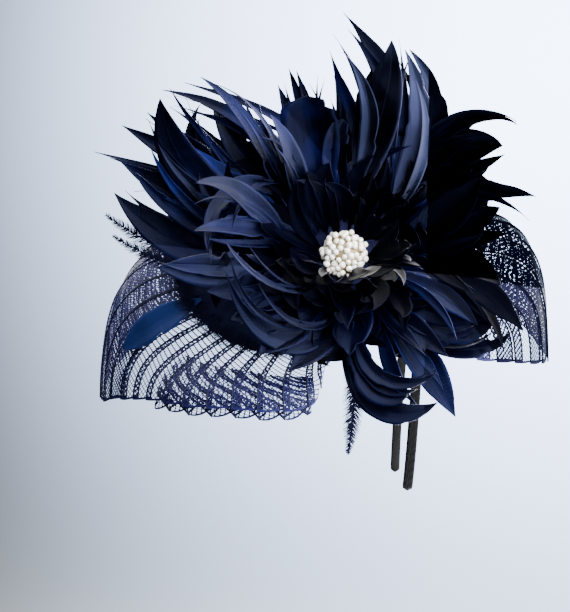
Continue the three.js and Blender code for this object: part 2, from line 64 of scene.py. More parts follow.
camera_data = bpy.data.cameras.new("camera")
camera_data.sensor_fit = "HORIZONTAL"
camera_data.lens = camera_data.sensor_width * CAMERA_DISTANCE / (PICTURE_WIDTH_PX / PX_PER_MM * MM)
camera = bpy.data.objects.new("camera", camera_data)
camera.location = PICTURE_CENTRE + np.array([CAMERA_DISTANCE, 0, 0])
camera.rotation_euler = (math.pi / 2, 0, math.pi / 2)
bpy.context.scene.collection.objects.link(camera)
bpy.context.scene.camera = camera
print("lens", round(camera_data.lens, 1), "mm")

# %% [markdown]
# ## Mesh from a grid
#
# Every new piece is a surface of two parameters. A grid of points, one row per step of the first
# parameter, is turned into quads by index arithmetic: the corner numbers of all quads come from
# shifting one array of numbers, so no loop touches a point.

# %% Grid helpers
def grid_faces(rows, columns, close_rows=False, close_columns=False):
    """Corner numbers of the quads of a rows x columns grid, wrapped round where a side is closed."""
    numbers = np.arange(rows * columns).reshape(rows, columns)
    if close_rows:
        numbers = np.vstack([numbers, numbers[:1]])
    if close_columns:
        numbers = np.hstack([numbers, numbers[:, :1]])
    corners = [numbers[:-1, :-1], numbers[1:, :-1], numbers[1:, 1:], numbers[:-1, 1:]]
    return np.stack(corners, axis=-1).reshape(-1, 4)


def make_piece(name, points, faces, uv=None):
    """A mesh object from points and faces, with a UV pair for each point or each corner of a face."""
    mesh = bpy.data.meshes.new(name)
    mesh.vertices.add(len(points))
    mesh.vertices.foreach_set("co", np.asarray(points, np.float32).ravel())
    sides = faces.shape[1]
    mesh.loops.add(faces.size)
    mesh.loops.foreach_set("vertex_index", faces.astype(np.int32).ravel())
    mesh.polygons.add(len(faces))
    mesh.polygons.foreach_set("loop_start", np.arange(0, faces.size, sides, dtype=np.int32))
    mesh.polygons.foreach_set("use_smooth", np.ones(len(faces), bool))
    if uv is not None:
        layer = mesh.uv_layers.new(name="UVMap")
        corners = uv if uv.ndim == 3 else uv[faces.ravel()]
        layer.data.foreach_set("uv", np.asarray(corners, np.float32).ravel())
    mesh.update(calc_edges=True)
    mesh.validate()
    piece = bpy.data.objects.new(name, mesh)
    bpy.context.scene.collection.objects.link(piece)
    return piece


def mark(piece, name, values):
    """Stores one number for each point of a piece, for its material to read."""
    layer = piece.data.attributes.new(name, "FLOAT", "POINT")
    layer.data.foreach_set("value", np.asarray(values, np.float32).ravel())


def join_grids(grids, faces):
    """Points and faces of many equal grids laid end to end."""
    count = grids[0].shape[0] * grids[0].shape[1]
    points = np.concatenate([grid.reshape(-1, grid.shape[-1]) for grid in grids])
    shifts = (np.arange(len(grids)) * count)[:, None, None]
    return points, (faces[None] + shifts).reshape(-1, faces.shape[1])


def unit(vectors):
    """Vectors divided by their own length."""
    return vectors / np.maximum(np.linalg.norm(vectors, axis=-1, keepdims=True), 1e-12)


# %% [markdown]
# ## Writing materials as expressions
#
# A material is a small sum of patterns. Wired by hand it is a thicket of Math nodes, so one class
# wraps a socket and lets plain Python operators add the nodes: `1 - mask * 0.5` reads as it works.
# Any other node comes from one method that takes its type, its settings and its inputs.

# %% Shader expressions
class Wire:
    """A node's output that can be added, multiplied and compared to make new Math nodes."""

    def __init__(self, tree, socket):
        self.tree = tree
        self.socket = socket

    def math(self, operation, *others):
        node = self.tree.nodes.new("ShaderNodeMath")
        node.operation = operation
        for slot, value in zip(node.inputs, others):
            if isinstance(value, Wire):
                self.tree.links.new(value.socket, slot)
            else:
                slot.default_value = value
        return Wire(self.tree, node.outputs[0])

    def __add__(self, other):
        return self.math("ADD", self, other)

    def __sub__(self, other):
        return self.math("SUBTRACT", self, other)

    def __rsub__(self, other):
        return self.math("SUBTRACT", other, self)

    def __mul__(self, other):
        return self.math("MULTIPLY", self, other)

    def __truediv__(self, other):
        return self.math("DIVIDE", self, other)

    def __gt__(self, other):
        return self.math("GREATER_THAN", self, other)

    def __abs__(self):
        return self.math("ABSOLUTE", self)

    def fraction(self):
        return self.math("FRACT", self)

    def sine(self):
        return self.math("SINE", self)

    def most(self, other):
        return self.math("MAXIMUM", self, other)

    def least(self, other):
        return self.math("MINIMUM", self, other)


class Finish:
    """A material with one Principled shader, whose constant values are set on its own sockets."""

    def __init__(self, name, **constants):
        self.material = bpy.data.materials.new(name)
        self.material.use_nodes = True
        self.tree = self.material.node_tree
        self.shader = self.tree.nodes["Principled BSDF"]
        for socket, value in constants.items():
            self.shader.inputs[socket.replace("_", " ")].default_value = value

    def node(self, kind, settings=None, output=0, **inputs):
        """Adds a node of a kind, sets its settings, then fills its inputs with values or wires."""
        node = self.tree.nodes.new(kind)
        for name, value in (settings or {}).items():
            setattr(node, name, value)
        for name, value in inputs.items():
            slot = node.inputs[int(name[1:])] if name[0] == "i" and name[1:].isdigit() else node.inputs[name]
            if isinstance(value, Wire):
                self.tree.links.new(value.socket, slot)
            else:
                slot.default_value = value
        return Wire(self.tree, node.outputs[output])

    def colour_between(self, low, high, share):
        """Mixes two colours by a share from 0 to 1."""
        return self.node(
            "ShaderNodeMix", {"data_type": "RGBA"}, output=2, i0=share, i6=low, i7=high
        )

    def noise(self, vector, scale, detail=2.0):
        return self.node("ShaderNodeTexNoise", Vector=vector, Scale=scale, Detail=detail)

    def uv(self):
        """The piece's own UV map, split into its two lengths."""
        wire = self.node("ShaderNodeUVMap", {"uv_map": "UVMap"})
        split = self.tree.nodes.new("ShaderNodeSeparateXYZ")
        self.tree.links.new(wire.socket, split.inputs[0])
        return Wire(self.tree, split.outputs[0]), Wire(self.tree, split.outputs[1]), wire

    def place(self):
        return self.node("ShaderNodeTexCoord", output=3)

    def attribute(self, name):
        """A number that the mesh holds for each of its points."""
        return self.node("ShaderNodeAttribute", {"attribute_name": name}, output=2)

    def bump(self, height, distance, strength=1.0):
        wire = self.node("ShaderNodeBump", Height=height, Distance=distance, Strength=strength)
        self.feed("Normal", wire)

    def feed(self, socket, wire):
        self.tree.links.new(wire.socket, self.shader.inputs[socket])


def dress(piece, finish, slot, *nodes):
    """Gives a piece its material and its body, and lets it stand for frame nodes; the slot is not used."""
    piece.data.materials.append(finish.material)
    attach(piece, "root")
    if nodes:
        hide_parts(*nodes)


# %% [markdown]
# ## The flower's own axes
#
# The pad, the flower, the pearls and the start of every net pleat share one centre on the wearer's
# left. They are placed by a clock angle (0 towards the back of the head, 90 up), a radius and a
# height along the flower's axis, which looks out to the side and a little up.

# %% Flower axes
FLOWER_TILT = math.radians(12)
GATHER_CENTRE = np.array([50, -50, 6]) * MM
AXIS = np.array([math.cos(FLOWER_TILT), 0.0, math.sin(FLOWER_TILT)])
ACROSS = np.array([0.0, 1.0, 0.0])
UP = np.cross(AXIS, ACROSS)


def on_flower(centre, clock, radius, height):
    """Points at a clock angle in degrees, a radius and a height over a centre on the axis."""
    angle = np.radians(clock)[..., None]
    radius = np.asarray(radius)[..., None]
    height = np.asarray(height)[..., None]
    return centre + radius * (np.cos(angle) * ACROSS + np.sin(angle) * UP) + height * AXIS


def height_on_axis(node, centre):
    """Lowest and highest reach of a frame node's corners along the flower's axis."""
    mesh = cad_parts[node].data
    points = np.empty(len(mesh.vertices) * 3, np.float32)
    mesh.vertices.foreach_get("co", points)
    heights = (points.reshape(-1, 3) - centre) @ AXIS
    return heights.min(), heights.max()


PEARL_BASE = height_on_axis("pearl_cluster", GATHER_CENTRE)[0]
BACKING_HEIGHT = 9 * MM
CLEARANCE = 0.3 * MM
FLOWER_BASE_HEIGHT = PEARL_BASE - BACKING_HEIGHT - CLEARANCE
FLOWER_BASE = GATHER_CENTRE + FLOWER_BASE_HEIGHT * AXIS
print("flower base stands", round(FLOWER_BASE_HEIGHT / MM, 1), "mm out from the gathers")

# %% [markdown]
# ## The net brim's folds
#
# The brim is a strip of stiff horsehair net, gathered in a small ring under the flower. Each fold of
# it runs out behind the pad, turns over and falls to the rim. A table gives one row per main fold,
# as shares of a few lengths, and a smooth closed curve runs through each column of the table. A fold
# is then a cubic Bezier curve: it leaves the ring flat, and reaches the rim straight from above.
# The same table shapes the construction model, so the fine net lies exactly where that one does.

# %% Net folds
FRONT_REACH = 211 * MM
BACK_REACH = 87 * MM
NEAR_REACH = 92 * MM
FAR_REACH = 95 * MM
RIM_DROP = 89 * MM
NET_SWELL = 100 * MM
NET_FALL = 85 * MM
GATHER_RADIUS = 30 * MM
NET_WALL = 1.2 * MM
PLEAT_PITCH = 16 * MM

# clock, swell, side, ahead, drop, fall, pleat; the first row is the stitches on the band
NET_FOLDS = np.array([
    (284, 0.60, 0.0, 0.000, 0.00, 0.12, 0.0),
    (266, 0.70, 0.85, -0.265, 0.58, 0.18, 0.5),
    (252, 0.82, 0.96, -0.330, 0.92, 0.28, 1.0),
    (239, 0.93, 1.00, -0.448, 0.99, 0.34, 1.0),
    (227, 1.00, 0.98, -0.570, 0.98, 0.34, 1.0),
    (218, 1.04, 0.91, -0.690, 0.97, 0.28, 1.0),
    (211, 1.08, 0.78, -0.777, 0.93, 0.24, 1.0),
    (203, 1.12, 0.56, -0.853, 0.91, 0.36, 1.0),
    (195, 1.18, 0.30, -0.928, 0.90, 0.54, 1.0),
    (184, 1.26, 0.00, -0.981, 0.93, 0.86, 1.0),
    (171, 1.30, -0.28, -0.985, 0.80, 1.00, 1.0),
    (157, 1.20, -0.62, -0.850, 0.40, 0.94, 1.0),
    (132, 0.95, -0.90, -0.590, 0.06, 0.82, 1.0),
    (90, 0.80, -1.00, -0.260, -0.06, 0.70, 1.0),
    (54, 0.95, -0.84, 0.170, 0.00, 0.70, 1.0),
    (33, 1.18, -0.48, 0.760, 0.28, 0.84, 1.0),
    (18, 1.30, -0.06, 0.990, 0.58, 1.00, 1.0),
    (0, 1.16, 0.30, 0.920, 0.64, 0.66, 1.0),
    (-17, 1.00, 0.57, 0.690, 0.63, 0.46, 1.0),
    (-33, 0.85, 0.79, 0.370, 0.60, 0.34, 1.0),
    (-52, 0.70, 0.88, 0.160, 0.52, 0.24, 0.5),
])
FOLD_COUNT = len(NET_FOLDS)

# %% [markdown]
# The stitched fold's rim lies on the outside of the band, so it is worked out from the band's own
# arc: part of an ellipse, in a plane that leans with its tips towards the face.

# %% Band arc
BAND_HALF_WIDTH = 75 * MM
BAND_RISE = 88 * MM
BAND_WIDTH = 6.5 * MM
BAND_THICKNESS = 2 * MM
BAND_SWEEP = math.radians(124)
BAND_LEAN = math.radians(4)
SEAT_ANGLE = math.radians(58)


def band_point(sweep, outwards):
    """Points on the band's ellipse at angles from its top, moved outwards by a distance."""
    across = (BAND_HALF_WIDTH + outwards) * np.sin(sweep)
    down = BAND_RISE - (BAND_RISE + outwards) * np.cos(sweep)
    return np.stack([across, -down * math.sin(BAND_LEAN), -down * math.cos(BAND_LEAN)], axis=-1)


band_seat = band_point(np.array(SEAT_ANGLE), BAND_THICKNESS + CLEARANCE + NET_WALL / 2)

rims = np.stack([
    NET_FOLDS[:, 2] * np.where(NET_FOLDS[:, 2] > 0, NEAR_REACH, FAR_REACH),
    NET_FOLDS[:, 3] * np.where(NET_FOLDS[:, 3] < 0, FRONT_REACH, BACK_REACH),
    -NET_FOLDS[:, 4] * RIM_DROP,
], axis=-1)
rims[0] = band_seat


def round_folds(values, place):
    """A smooth closed curve through one value, or one point, of each fold (Catmull-Rom)."""
    start = np.floor(place).astype(int)
    t = (place - start)[(...,) + (None,) * (values.ndim - 1)]
    a, b, c, d = (values[(start + k) % FOLD_COUNT] for k in (-1, 0, 1, 2))
    return b + 0.5 * t * (c - a + t * (2 * a - 5 * b + 4 * c - d + t * (3 * (b - c) + d - a)))


def clocks(place):
    """Clock angles, which go down by a full turn each time round."""
    start = np.floor(place).astype(int)
    t = place - start
    rows = [start + k for k in (-1, 0, 1, 2)]
    a, b, c, d = (NET_FOLDS[row % FOLD_COUNT, 0] - 360 * (row // FOLD_COUNT) for row in rows)
    return b + 0.5 * t * (c - a + t * (2 * a - 5 * b + 4 * c - d + t * (3 * (b - c) + d - a)))


def net_point(place, along):
    """Points of the plain net: a cubic Bezier from the gathers to the rim, at a share along it."""
    clock = clocks(place)
    rim = round_folds(rims, place)
    swell = NET_SWELL * round_folds(NET_FOLDS[:, 1], place)
    fall = NET_FALL * round_folds(NET_FOLDS[:, 5], place)
    start = on_flower(GATHER_CENTRE, clock, np.full_like(clock, GATHER_RADIUS), np.zeros_like(clock))
    out = on_flower(GATHER_CENTRE, clock, swell, np.zeros_like(clock))
    above = rim + fall[..., None] * np.array([0, 0, 1.0])
    s = along[..., None]
    return (1 - s) ** 3 * start + 3 * (1 - s) ** 2 * s * out + 3 * (1 - s) * s * s * above + s**3 * rim


HOLLOW_CENTRE = np.array([0, (BACK_REACH - FRONT_REACH) / 2, -RIM_DROP / 3])


def net_normal(place, along):
    """Outward directions of the plain net, from two short steps on its surface."""
    step = 0.01
    inner = np.minimum(along, 1 - step)
    point = net_point(place, inner)
    normal = unit(np.cross(net_point(place + step, inner) - point, net_point(place, inner + step) - point))
    inward = np.sum(normal * (point - HOLLOW_CENTRE), axis=-1, keepdims=True) < 0
    return np.where(inward, -normal, normal)


fine_places = np.linspace(0, FOLD_COUNT, 2401)
fine_rim = round_folds(rims, fine_places)
rim_lengths = np.concatenate([[0], np.cumsum(np.linalg.norm(np.diff(fine_rim, axis=0), axis=1))])
RIM_LENGTH = rim_lengths[-1]
PLEAT_COUNT = round(RIM_LENGTH / PLEAT_PITCH)


def place_along_rim(share):
    """The place, counted in folds, at a share of the rim's length."""
    turns = np.floor(share)
    return np.interp((share - turns) * RIM_LENGTH, rim_lengths, fine_places) + turns * FOLD_COUNT


print("rim", round(RIM_LENGTH / MM), "mm with", PLEAT_COUNT, "pleats")


# %% [markdown]
# ## The net's thread
#
# Horsehair net is woven on the slant: two families of stiff, shiny threads cross in small diamonds.
# Real threads by the hundred thousand would be far too heavy, so the weave is cut out of the cloth by
# its Alpha: a point is thread where it lies near a line of either family. The UV map holds real
# lengths on the flat cut, so the diamonds close up towards the gathers just as the cloth does. Where
# the cloth is folded the threads bunch into a dark line, made below as a fine cord along each fold,
# and so they do in the rolled hem, which is the stretch of the UV map nearest the rim.

# %% Net finish
NET_CELL = 3.4 * MM
NET_THREAD = 0.9 * MM
HEM_ROLL = 1.5 * MM
FOLD_CORD = 1.2 * MM
CROSSING_CORD = 1.6 * MM
CORD_SIDES = 5
NET_GLOSS = 0.06


def net_finish(name, colour, light):
    finish = Finish(name, Roughness=0.42)
    finish.shader.inputs["Specular IOR Level"].default_value = NET_GLOSS
    across, along, vector = finish.uv()
    rising = abs(((across + along) / NET_CELL).fraction() - 0.5) * NET_CELL
    falling = abs(((across - along) / NET_CELL).fraction() - 0.5) * NET_CELL
    nearest = rising.least(falling)
    woven = 1 - (nearest > NET_THREAD / 2)
    rolled = 1 - (along > HEM_ROLL)
    finish.feed("Alpha", woven.most(rolled))
    patches = finish.noise(vector, 60.0)
    finish.feed("Base Color", finish.colour_between(colour, light, patches))
    return finish


crin_finish = net_finish("crin thread", (0.0015, 0.0016, 0.011, 1), (0.009, 0.009, 0.05, 1))
# The inner layer's thread is a darker copy of the same thread: painted shade for the layer that hangs behind
# the brim.
shaded_inner_finish = net_finish("crin thread, inner layer in painted shade", (0.001, 0.0012, 0.008, 1), (0.007, 0.007, 0.04, 1))

cord_finish = Finish("crin fold", Roughness=0.45)
cord_finish.shader.inputs["Specular IOR Level"].default_value = NET_GLOSS
threads = cord_finish.noise(cord_finish.place(), 700.0)
cord_finish.feed("Base Color", cord_finish.colour_between(
    (0.0006, 0.0007, 0.005, 1), (0.003, 0.0035, 0.018, 1), threads,
))

# %% [markdown]
# ## Knife pleats
#
# A knife pleat is a zigzag seen from the rim: the strip runs forward on top, folds back under itself
# and runs forward again beneath. Between two pleats a single layer shows, which is why the brim is
# striped dark and light. The zigzag is a short profile of run and height that is carried along the
# rim, and each column of points then follows its own fold of the brim.

# %% Pleated layers
PLEAT_UNDER = 0.56
PLEAT_HEIGHT = 1.7 * MM
# run along the rim as a share of the pitch, and height as a share of the pleat's height
PLEAT_PROFILE = np.array([
    (0.00, 0.10), (0.20, 0.45), (0.45, 0.80), (0.70, 0.97), (0.92, 1.00),
    (1.00, 0.94), (0.97, 0.72), (0.80, 0.58), (0.60, 0.47), (0.42, 0.34),
    (0.36, 0.20), (0.40, 0.06), (0.60, 0.02), (0.80, 0.00),
])
# the two rows of the profile where the cloth turns back, and how far it runs back between them
PLEAT_FOLDS = (5, 10)
PROFILE_TUCK = 0.64
# fold of the brim, and how deep its pleats are tucked there: few gaps at the brow and behind, wide
# ones between
TUCKING = np.array([
    (0, 1.1), (1.2, 1.1), (2.2, 0.5), (5.2, 0.55), (5.7, 0.45), (7.4, 0.5), (7.9, 1.7), (11, 1.7), (12, 1.0),
    (14.5, 1.0), (15.5, 1.6), (21, 1.5),
])


def pleat_columns(count, seed, start=0.0, end=1.0):
    """Shares of the rim, heights and flat lengths of the columns of many pleats, each a bit its own."""
    rng = np.random.default_rng(seed)
    place = place_along_rim(start + (end - start) * (np.arange(count) + 0.5) / count)
    depth = PLEAT_UNDER * (np.interp(place, *TUCKING.T) * rng.uniform(0.55, 1.15, count))[:, None]
    run = PLEAT_PROFILE[:, 0]
    tucked = 1 - (1 - run) * depth / PROFILE_TUCK
    run = np.where(np.arange(len(run)) > PLEAT_FOLDS[0], tucked, run[None])
    shares = (np.arange(count)[:, None] + run) / count
    heights = np.broadcast_to(PLEAT_PROFILE[:, 1], shares.shape)
    shares = shares.ravel()
    flat = np.concatenate([[0], np.cumsum(np.abs(np.diff(shares)))]) * RIM_LENGTH
    fold = np.tile(np.isin(np.arange(len(PLEAT_PROFILE)), PLEAT_FOLDS), count)
    return shares, heights.ravel(), flat, fold


def net_sheet(name, pleats, alongs, offset, hang, slant, limits, finish, cord):
    """One layer of pleated net; returns the piece, its grid of points and the mean length of its folds.

    Each column of points follows one share of the rim, or slides along it with slant on its way up,
    but never past the layer's limits. The UV map holds true lengths: across the cloth from the start of
    its own pleat, and up from the rim.
    """
    shares, heights, flat, fold = pleats
    s, along = np.meshgrid(shares, alongs, indexing="ij")
    slid = s + slant * (1 - along)
    if limits:
        slid = np.clip(slid, *limits)
    place = place_along_rim(slid)
    pleat = np.clip(round_folds(NET_FOLDS[:, 6], place), 0, 1)
    points = net_point(place, along)
    normals = net_normal(place, along)
    lift = offset + PLEAT_HEIGHT * along * pleat * heights[:, None]
    points = points + normals * lift[..., None]
    points[..., 2] -= hang(heights[:, None], along, place)
    steps = np.linalg.norm(np.diff(points, axis=1), axis=-1)
    lengths = np.concatenate([np.zeros((len(shares), 1)), np.cumsum(steps, axis=1)], axis=1)
    drop = lengths[:, -1:] - lengths
    ahead = np.concatenate([points[1:], points[:1]]) if not limits else points[1:]
    width = np.linalg.norm(ahead - points[:len(ahead)], axis=-1)
    run = np.concatenate([np.zeros((1, len(alongs))), np.cumsum(width, axis=0)])[:len(shares)]
    first = (np.arange(len(shares)) // len(PLEAT_PROFILE)) * len(PLEAT_PROFILE)
    across = (run - run[first])[:len(ahead)]
    drops = np.concatenate([drop, drop[:1]])
    left = np.stack([across, drop[:len(ahead)]], axis=-1)
    right = np.stack([across + width, drops[1:len(ahead) + 1]], axis=-1)
    uv = np.stack([left[:, :-1], right[:, :-1], right[:, 1:], left[:, 1:]], axis=2).reshape(-1, 4, 2)
    faces = grid_faces(*s.shape, close_rows=not limits)
    if limits:
        moved = np.abs(np.diff(slid, axis=0))
        open_faces = (np.maximum(moved[:, :-1], moved[:, 1:]) > 1e-7).ravel()
        faces, uv = faces[open_faces], uv[open_faces]
    kept, numbers = np.unique(faces, return_inverse=True)
    piece = make_piece(name, points.reshape(-1, 3)[kept], numbers.reshape(-1, 4), uv)
    dress(piece, finish, "navy_crin", name.replace("_net", ""))
    inside = (slid > limits[0]) & (slid < limits[1]) if limits else np.ones(s.shape, bool)
    fold_cords(name.replace("_net", "_folds"), points[fold], inside[fold], name.replace("_net", ""), cord)
    return piece, points, lengths[:, -1].mean()


def cords(paths, radius):
    """Grids of thin cords round many paths, each a row of points."""
    forwards = unit(np.gradient(paths, axis=1))
    side = unit(np.cross(forwards, np.array([0.31, 0.52, 0.8])))
    over = np.cross(forwards, side)
    turn = np.arange(CORD_SIDES) * 2 * np.pi / CORD_SIDES
    ring = side[:, :, None] * np.cos(turn)[:, None] + over[:, :, None] * np.sin(turn)[:, None]
    return paths[:, :, None] + ring * radius


def fold_cords(name, paths, inside, node, width):
    """The bunched threads of each fold, as a fine cord along it; only where the layer is not cut off."""
    grids = cords(paths, width / 2)
    points, faces = join_grids(list(grids), grid_faces(*grids.shape[1:3], close_columns=True))
    steps = (inside[:, :-1] & inside[:, 1:])[..., None]
    shown = np.broadcast_to(steps, steps.shape[:2] + (CORD_SIDES,)).ravel()
    kept, numbers = np.unique(faces[shown], return_inverse=True)
    piece = make_piece(name, points[kept], numbers.reshape(-1, 4))
    dress(piece, cord_finish, "navy_crin", node)


def sheet_area(points, closed):
    """Area of a grid of quads, from the lengths of the crossed diagonals."""
    if closed:
        points = np.concatenate([points, points[:1]])
    one = points[1:, 1:] - points[:-1, :-1]
    two = points[:-1, 1:] - points[1:, :-1]
    return np.linalg.norm(np.cross(one, two), axis=-1).sum() / 2


HEM_LIFT = 4 * MM
HEM_TOOTH = 1.2 * MM
# The hem is drawn up a little along the near front, between these two folds.
LIFTED_FOLDS = (1.5, 7.5)


def hem_lift(along, place):
    """How far the hem is drawn up: a smooth hump along the rim that fades away from it."""
    within = (place % FOLD_COUNT - LIFTED_FOLDS[0]) / (LIFTED_FOLDS[1] - LIFTED_FOLDS[0])
    hump = np.sin(np.pi * np.clip(within, 0, 1)) ** 0.7
    return HEM_LIFT * hump * along**3


def brim_hang(height, along, place):
    """How far the brim's hem hangs at each pleat, less what it is drawn up."""
    return HEM_TOOTH * height * along**6 - hem_lift(along, place)


brim_alongs = np.linspace(0, 1, 34)
brim_pleats = pleat_columns(PLEAT_COUNT, seed=3)
brim_net, brim_points, brim_depth = net_sheet(
    "crin_brim_net", brim_pleats, brim_alongs, 0.0, brim_hang, 0.0, None, crin_finish, FOLD_CORD,
)
brim_area = sheet_area(brim_points, True)

# %% [markdown]
# ## The crossing layer
#
# Behind the near front of the brim hangs a second layer. Its pleats lean the other way, so the two
# sets of folds cross in a lattice, and its hem drops in small teeth, one per pleat: each knife edge
# hangs lowest and the cloth climbs from it to the next. The lean comes from sliding each column along
# the rim the further it is from the hem.

# %% Crossing layer
UNDERLAY_START = 0.5
UNDERLAY_HANG = 0.5 * MM
TOOTH_DEPTH = 6 * MM
UNDERLAY_SLANT = 0.14
# It hangs between these two folds of the brim.
CROSSED_FOLDS = (2.0, 6.4)
under_from, under_to = (np.interp(fold, fine_places, rim_lengths) / RIM_LENGTH for fold in CROSSED_FOLDS)
first_share = under_from - UNDERLAY_SLANT * (1 - UNDERLAY_START)
under_span = under_to - first_share
under_count = round(under_span * PLEAT_COUNT)
shares, heights, flat, fold = pleat_columns(under_count, 8, first_share, under_to)
under_pleats = (first_share + shares * under_span, heights, flat * under_span, fold)
under_alongs = np.linspace(UNDERLAY_START, 1, 22)


def underlay_hang(height, along, place):
    """How far the hem hangs: a plain drop and a tooth at each knife edge, less what it is drawn up."""
    hem = ((along - UNDERLAY_START) / (1 - UNDERLAY_START)) ** 4
    return hem * (UNDERLAY_HANG + TOOTH_DEPTH * height) - hem_lift(along, place)


under_net, under_points, under_depth = net_sheet(
    "crin_underlay_net", under_pleats, under_alongs, -(NET_WALL + 2 * CLEARANCE) - PLEAT_HEIGHT,
    underlay_hang, UNDERLAY_SLANT, (under_from, under_to), shaded_inner_finish, CROSSING_CORD,
)
under_area = sheet_area(under_points, False)

# %% [markdown]
# ## The headband
#
# A springy strip wrapped in black satin ribbon. Its rounded section is swept along the band's arc
# and drawn in at the tips; the ribbon's slanting wraps are fine ridges in the finish.

# %% Headband
BAND_STEPS = 160
SECTION_SIDES = 20


def headband():
    sweep = np.linspace(-BAND_SWEEP, BAND_SWEEP, BAND_STEPS)
    turn = np.linspace(0, 2 * np.pi, SECTION_SIDES, endpoint=False)
    to_tip = (BAND_SWEEP - np.abs(sweep)) / BAND_SWEEP
    taper = np.sqrt(np.clip(1 - (1 - to_tip / 0.02).clip(0, 1) ** 2, 0.0, 1))[:, None]
    rounded = np.sign(np.sin(turn)) * np.abs(np.sin(turn)) ** 0.45
    side = BAND_WIDTH / 2 * rounded * taper
    out = BAND_THICKNESS / 2 * (1 + np.sign(np.cos(turn)) * np.abs(np.cos(turn)) ** 0.6 * taper)
    points = band_point(sweep[:, None], out)
    aside = np.array([0, math.cos(BAND_LEAN), -math.sin(BAND_LEAN)])
    points = points + side[..., None] * aside
    length = np.concatenate([[0], np.cumsum(np.linalg.norm(np.diff(points[:, 0], axis=0), axis=1))])
    uv = np.stack(np.broadcast_arrays(length[:, None], turn * BAND_WIDTH / 2), axis=-1)
    faces = grid_faces(BAND_STEPS, SECTION_SIDES, close_columns=True)
    return make_piece("headband_satin", points.reshape(-1, 3), faces, uv.reshape(-1, 2))


satin = Finish("black band satin", Roughness=0.42)
satin.shader.inputs["Specular IOR Level"].default_value = 0.02
length, round_it, _ = satin.uv()
wraps = ((length + round_it * 0.6) * (2 * math.pi / (5.5 * MM))).sine()
ribs = (length * (2 * math.pi / (0.5 * MM))).sine()
satin.bump(wraps * 0.8 + ribs * 0.2, 0.12 * MM)
satin.feed("Base Color", satin.colour_between(
    (0.0002, 0.0002, 0.0002, 1), (0.001, 0.0009, 0.0009, 1), satin.noise(satin.place(), 300.0)
))
dress(headband(), satin, "band_satin", "headband")

# %% [markdown]
# ## Feather finish
#
# A dyed goose feather is matt in the dark and satin where light rakes along its barbs. The barbs leave
# the quill on a slant towards the tip, so the finish draws fine slanting lines from the feather's UV
# map, where u runs from edge to edge and v from root to tip, both as lengths. The lines lift the
# normal a little and carry lighter and darker dye; the quill is a thin paler line down the middle.
# Light and shade are also painted into the colour: patches of lit and near black feather, painted
# shade that darkens it towards the flower's back and bottom, and a painted highlight along each edge.

# %% Feather finish
BARB_PITCH = 1.1 * MM
BARB_SLANT = 0.9
# Painted shade: the colour is lightest at the front and top of the flower and all but black low at its back.
PAINTED_SHADE_WAY = (0.0, -0.45, 1.0)
PAINTED_SHADE_LENGTH = 0.13
PAINTED_SHADE_LEAST = 0.1
# a painted highlight along each feather's edge, where it would catch the light
EDGE_HIGHLIGHT = 0.22
FEATHER_TINT = (0.36, 0.44, 1.0, 1)
# Painted light and shade lie in patches across the flower, lit or near black: their scale, the noise below
# which they are black, and their contrast.
LIT_PATCH_SCALE = 26.0
LIT_PATCH_FLOOR = 0.42
LIT_PATCH_CONTRAST = 5.0


def feather_finish(name, dark, light, roughness, gloss):
    finish = Finish(name, Roughness=roughness)
    finish.shader.inputs["Specular IOR Level"].default_value = gloss
    finish.shader.inputs["Specular Tint"].default_value = FEATHER_TINT
    across, along, vector = finish.uv()
    lean = along - abs(across) * BARB_SLANT
    barbs = (lean * (2 * math.pi / BARB_PITCH)).sine()
    stretched = finish.node("ShaderNodeMapping", i0=vector, i3=(260.0, 26.0, 1.0))
    streaks = finish.noise(stretched, 1.0, 3.0)
    quill = 1 - (abs(across) > 0.45 * MM)
    finish.bump(barbs * 0.25 + streaks * 1.6 + quill * 0.8, 0.22 * MM, 0.9)
    place = finish.place()
    # painted light and shade: patches of noise, near black where it is low and lit where it is high
    dye = (finish.noise(place, LIT_PATCH_SCALE, 2.0) - LIT_PATCH_FLOOR) * LIT_PATCH_CONTRAST
    dye = dye.least(1.0).most(0.0)
    # painted shade: the lit share falls from 1 at the front and top of the flower to its least low at the back
    front = finish.node("ShaderNodeVectorMath", {"operation": "DOT_PRODUCT"}, output=1, i0=place, i1=PAINTED_SHADE_WAY)
    lit_share = (front / PAINTED_SHADE_LENGTH).least(1.0).most(PAINTED_SHADE_LEAST)
    # painted highlight near the edges of the blade
    edge = finish.attribute("edge") > 0.9
    # share of the lightest colour: painted light in patches, broken into streaks along the barbs and darkened
    # by painted shade, plus the quill, the barbs and the painted edge highlight
    shares = (dye * (streaks * 1.1 + 0.1) + quill * 0.15 + barbs * 0.05) * lit_share + edge * EDGE_HIGHLIGHT
    finish.feed("Base Color", finish.colour_between(dark, light, shares.least(1.0)))
    return finish


# name, darkest and lightest colour, roughness, gloss. Shade is a copy in painted shade, all but black;
# sheen is a glossy copy whose lightest colour is a painted sheen; violet is partly its dye and partly
# a painted lavender sheen.
DYES = {
    "navy": ("navy goose feather", (0.0001, 0.0001, 0.0008, 1), (0.001, 0.0015, 0.014, 1), 0.26, 0.035),
    "royal": ("royal goose feather", (0.0002, 0.0004, 0.003, 1), (0.0014, 0.0036, 0.045, 1), 0.28, 0.04),
    "violet": ("violet goose feather with painted sheen", (0.0002, 0.0002, 0.0012, 1), (0.003, 0.0036, 0.019, 1), 0.27, 0.06),
    "shade": ("goose feather in painted shade", (0.0001, 0.0001, 0.0004, 1), (0.0004, 0.0005, 0.0034, 1), 0.32, 0.008),
    "sheen": ("glossy goose feather with painted sheen", (0.0001, 0.0001, 0.0005, 1), (0.012, 0.013, 0.03, 1), 0.22, 0.16),
}
finishes = {dye: feather_finish(*values) for dye, values in DYES.items()}

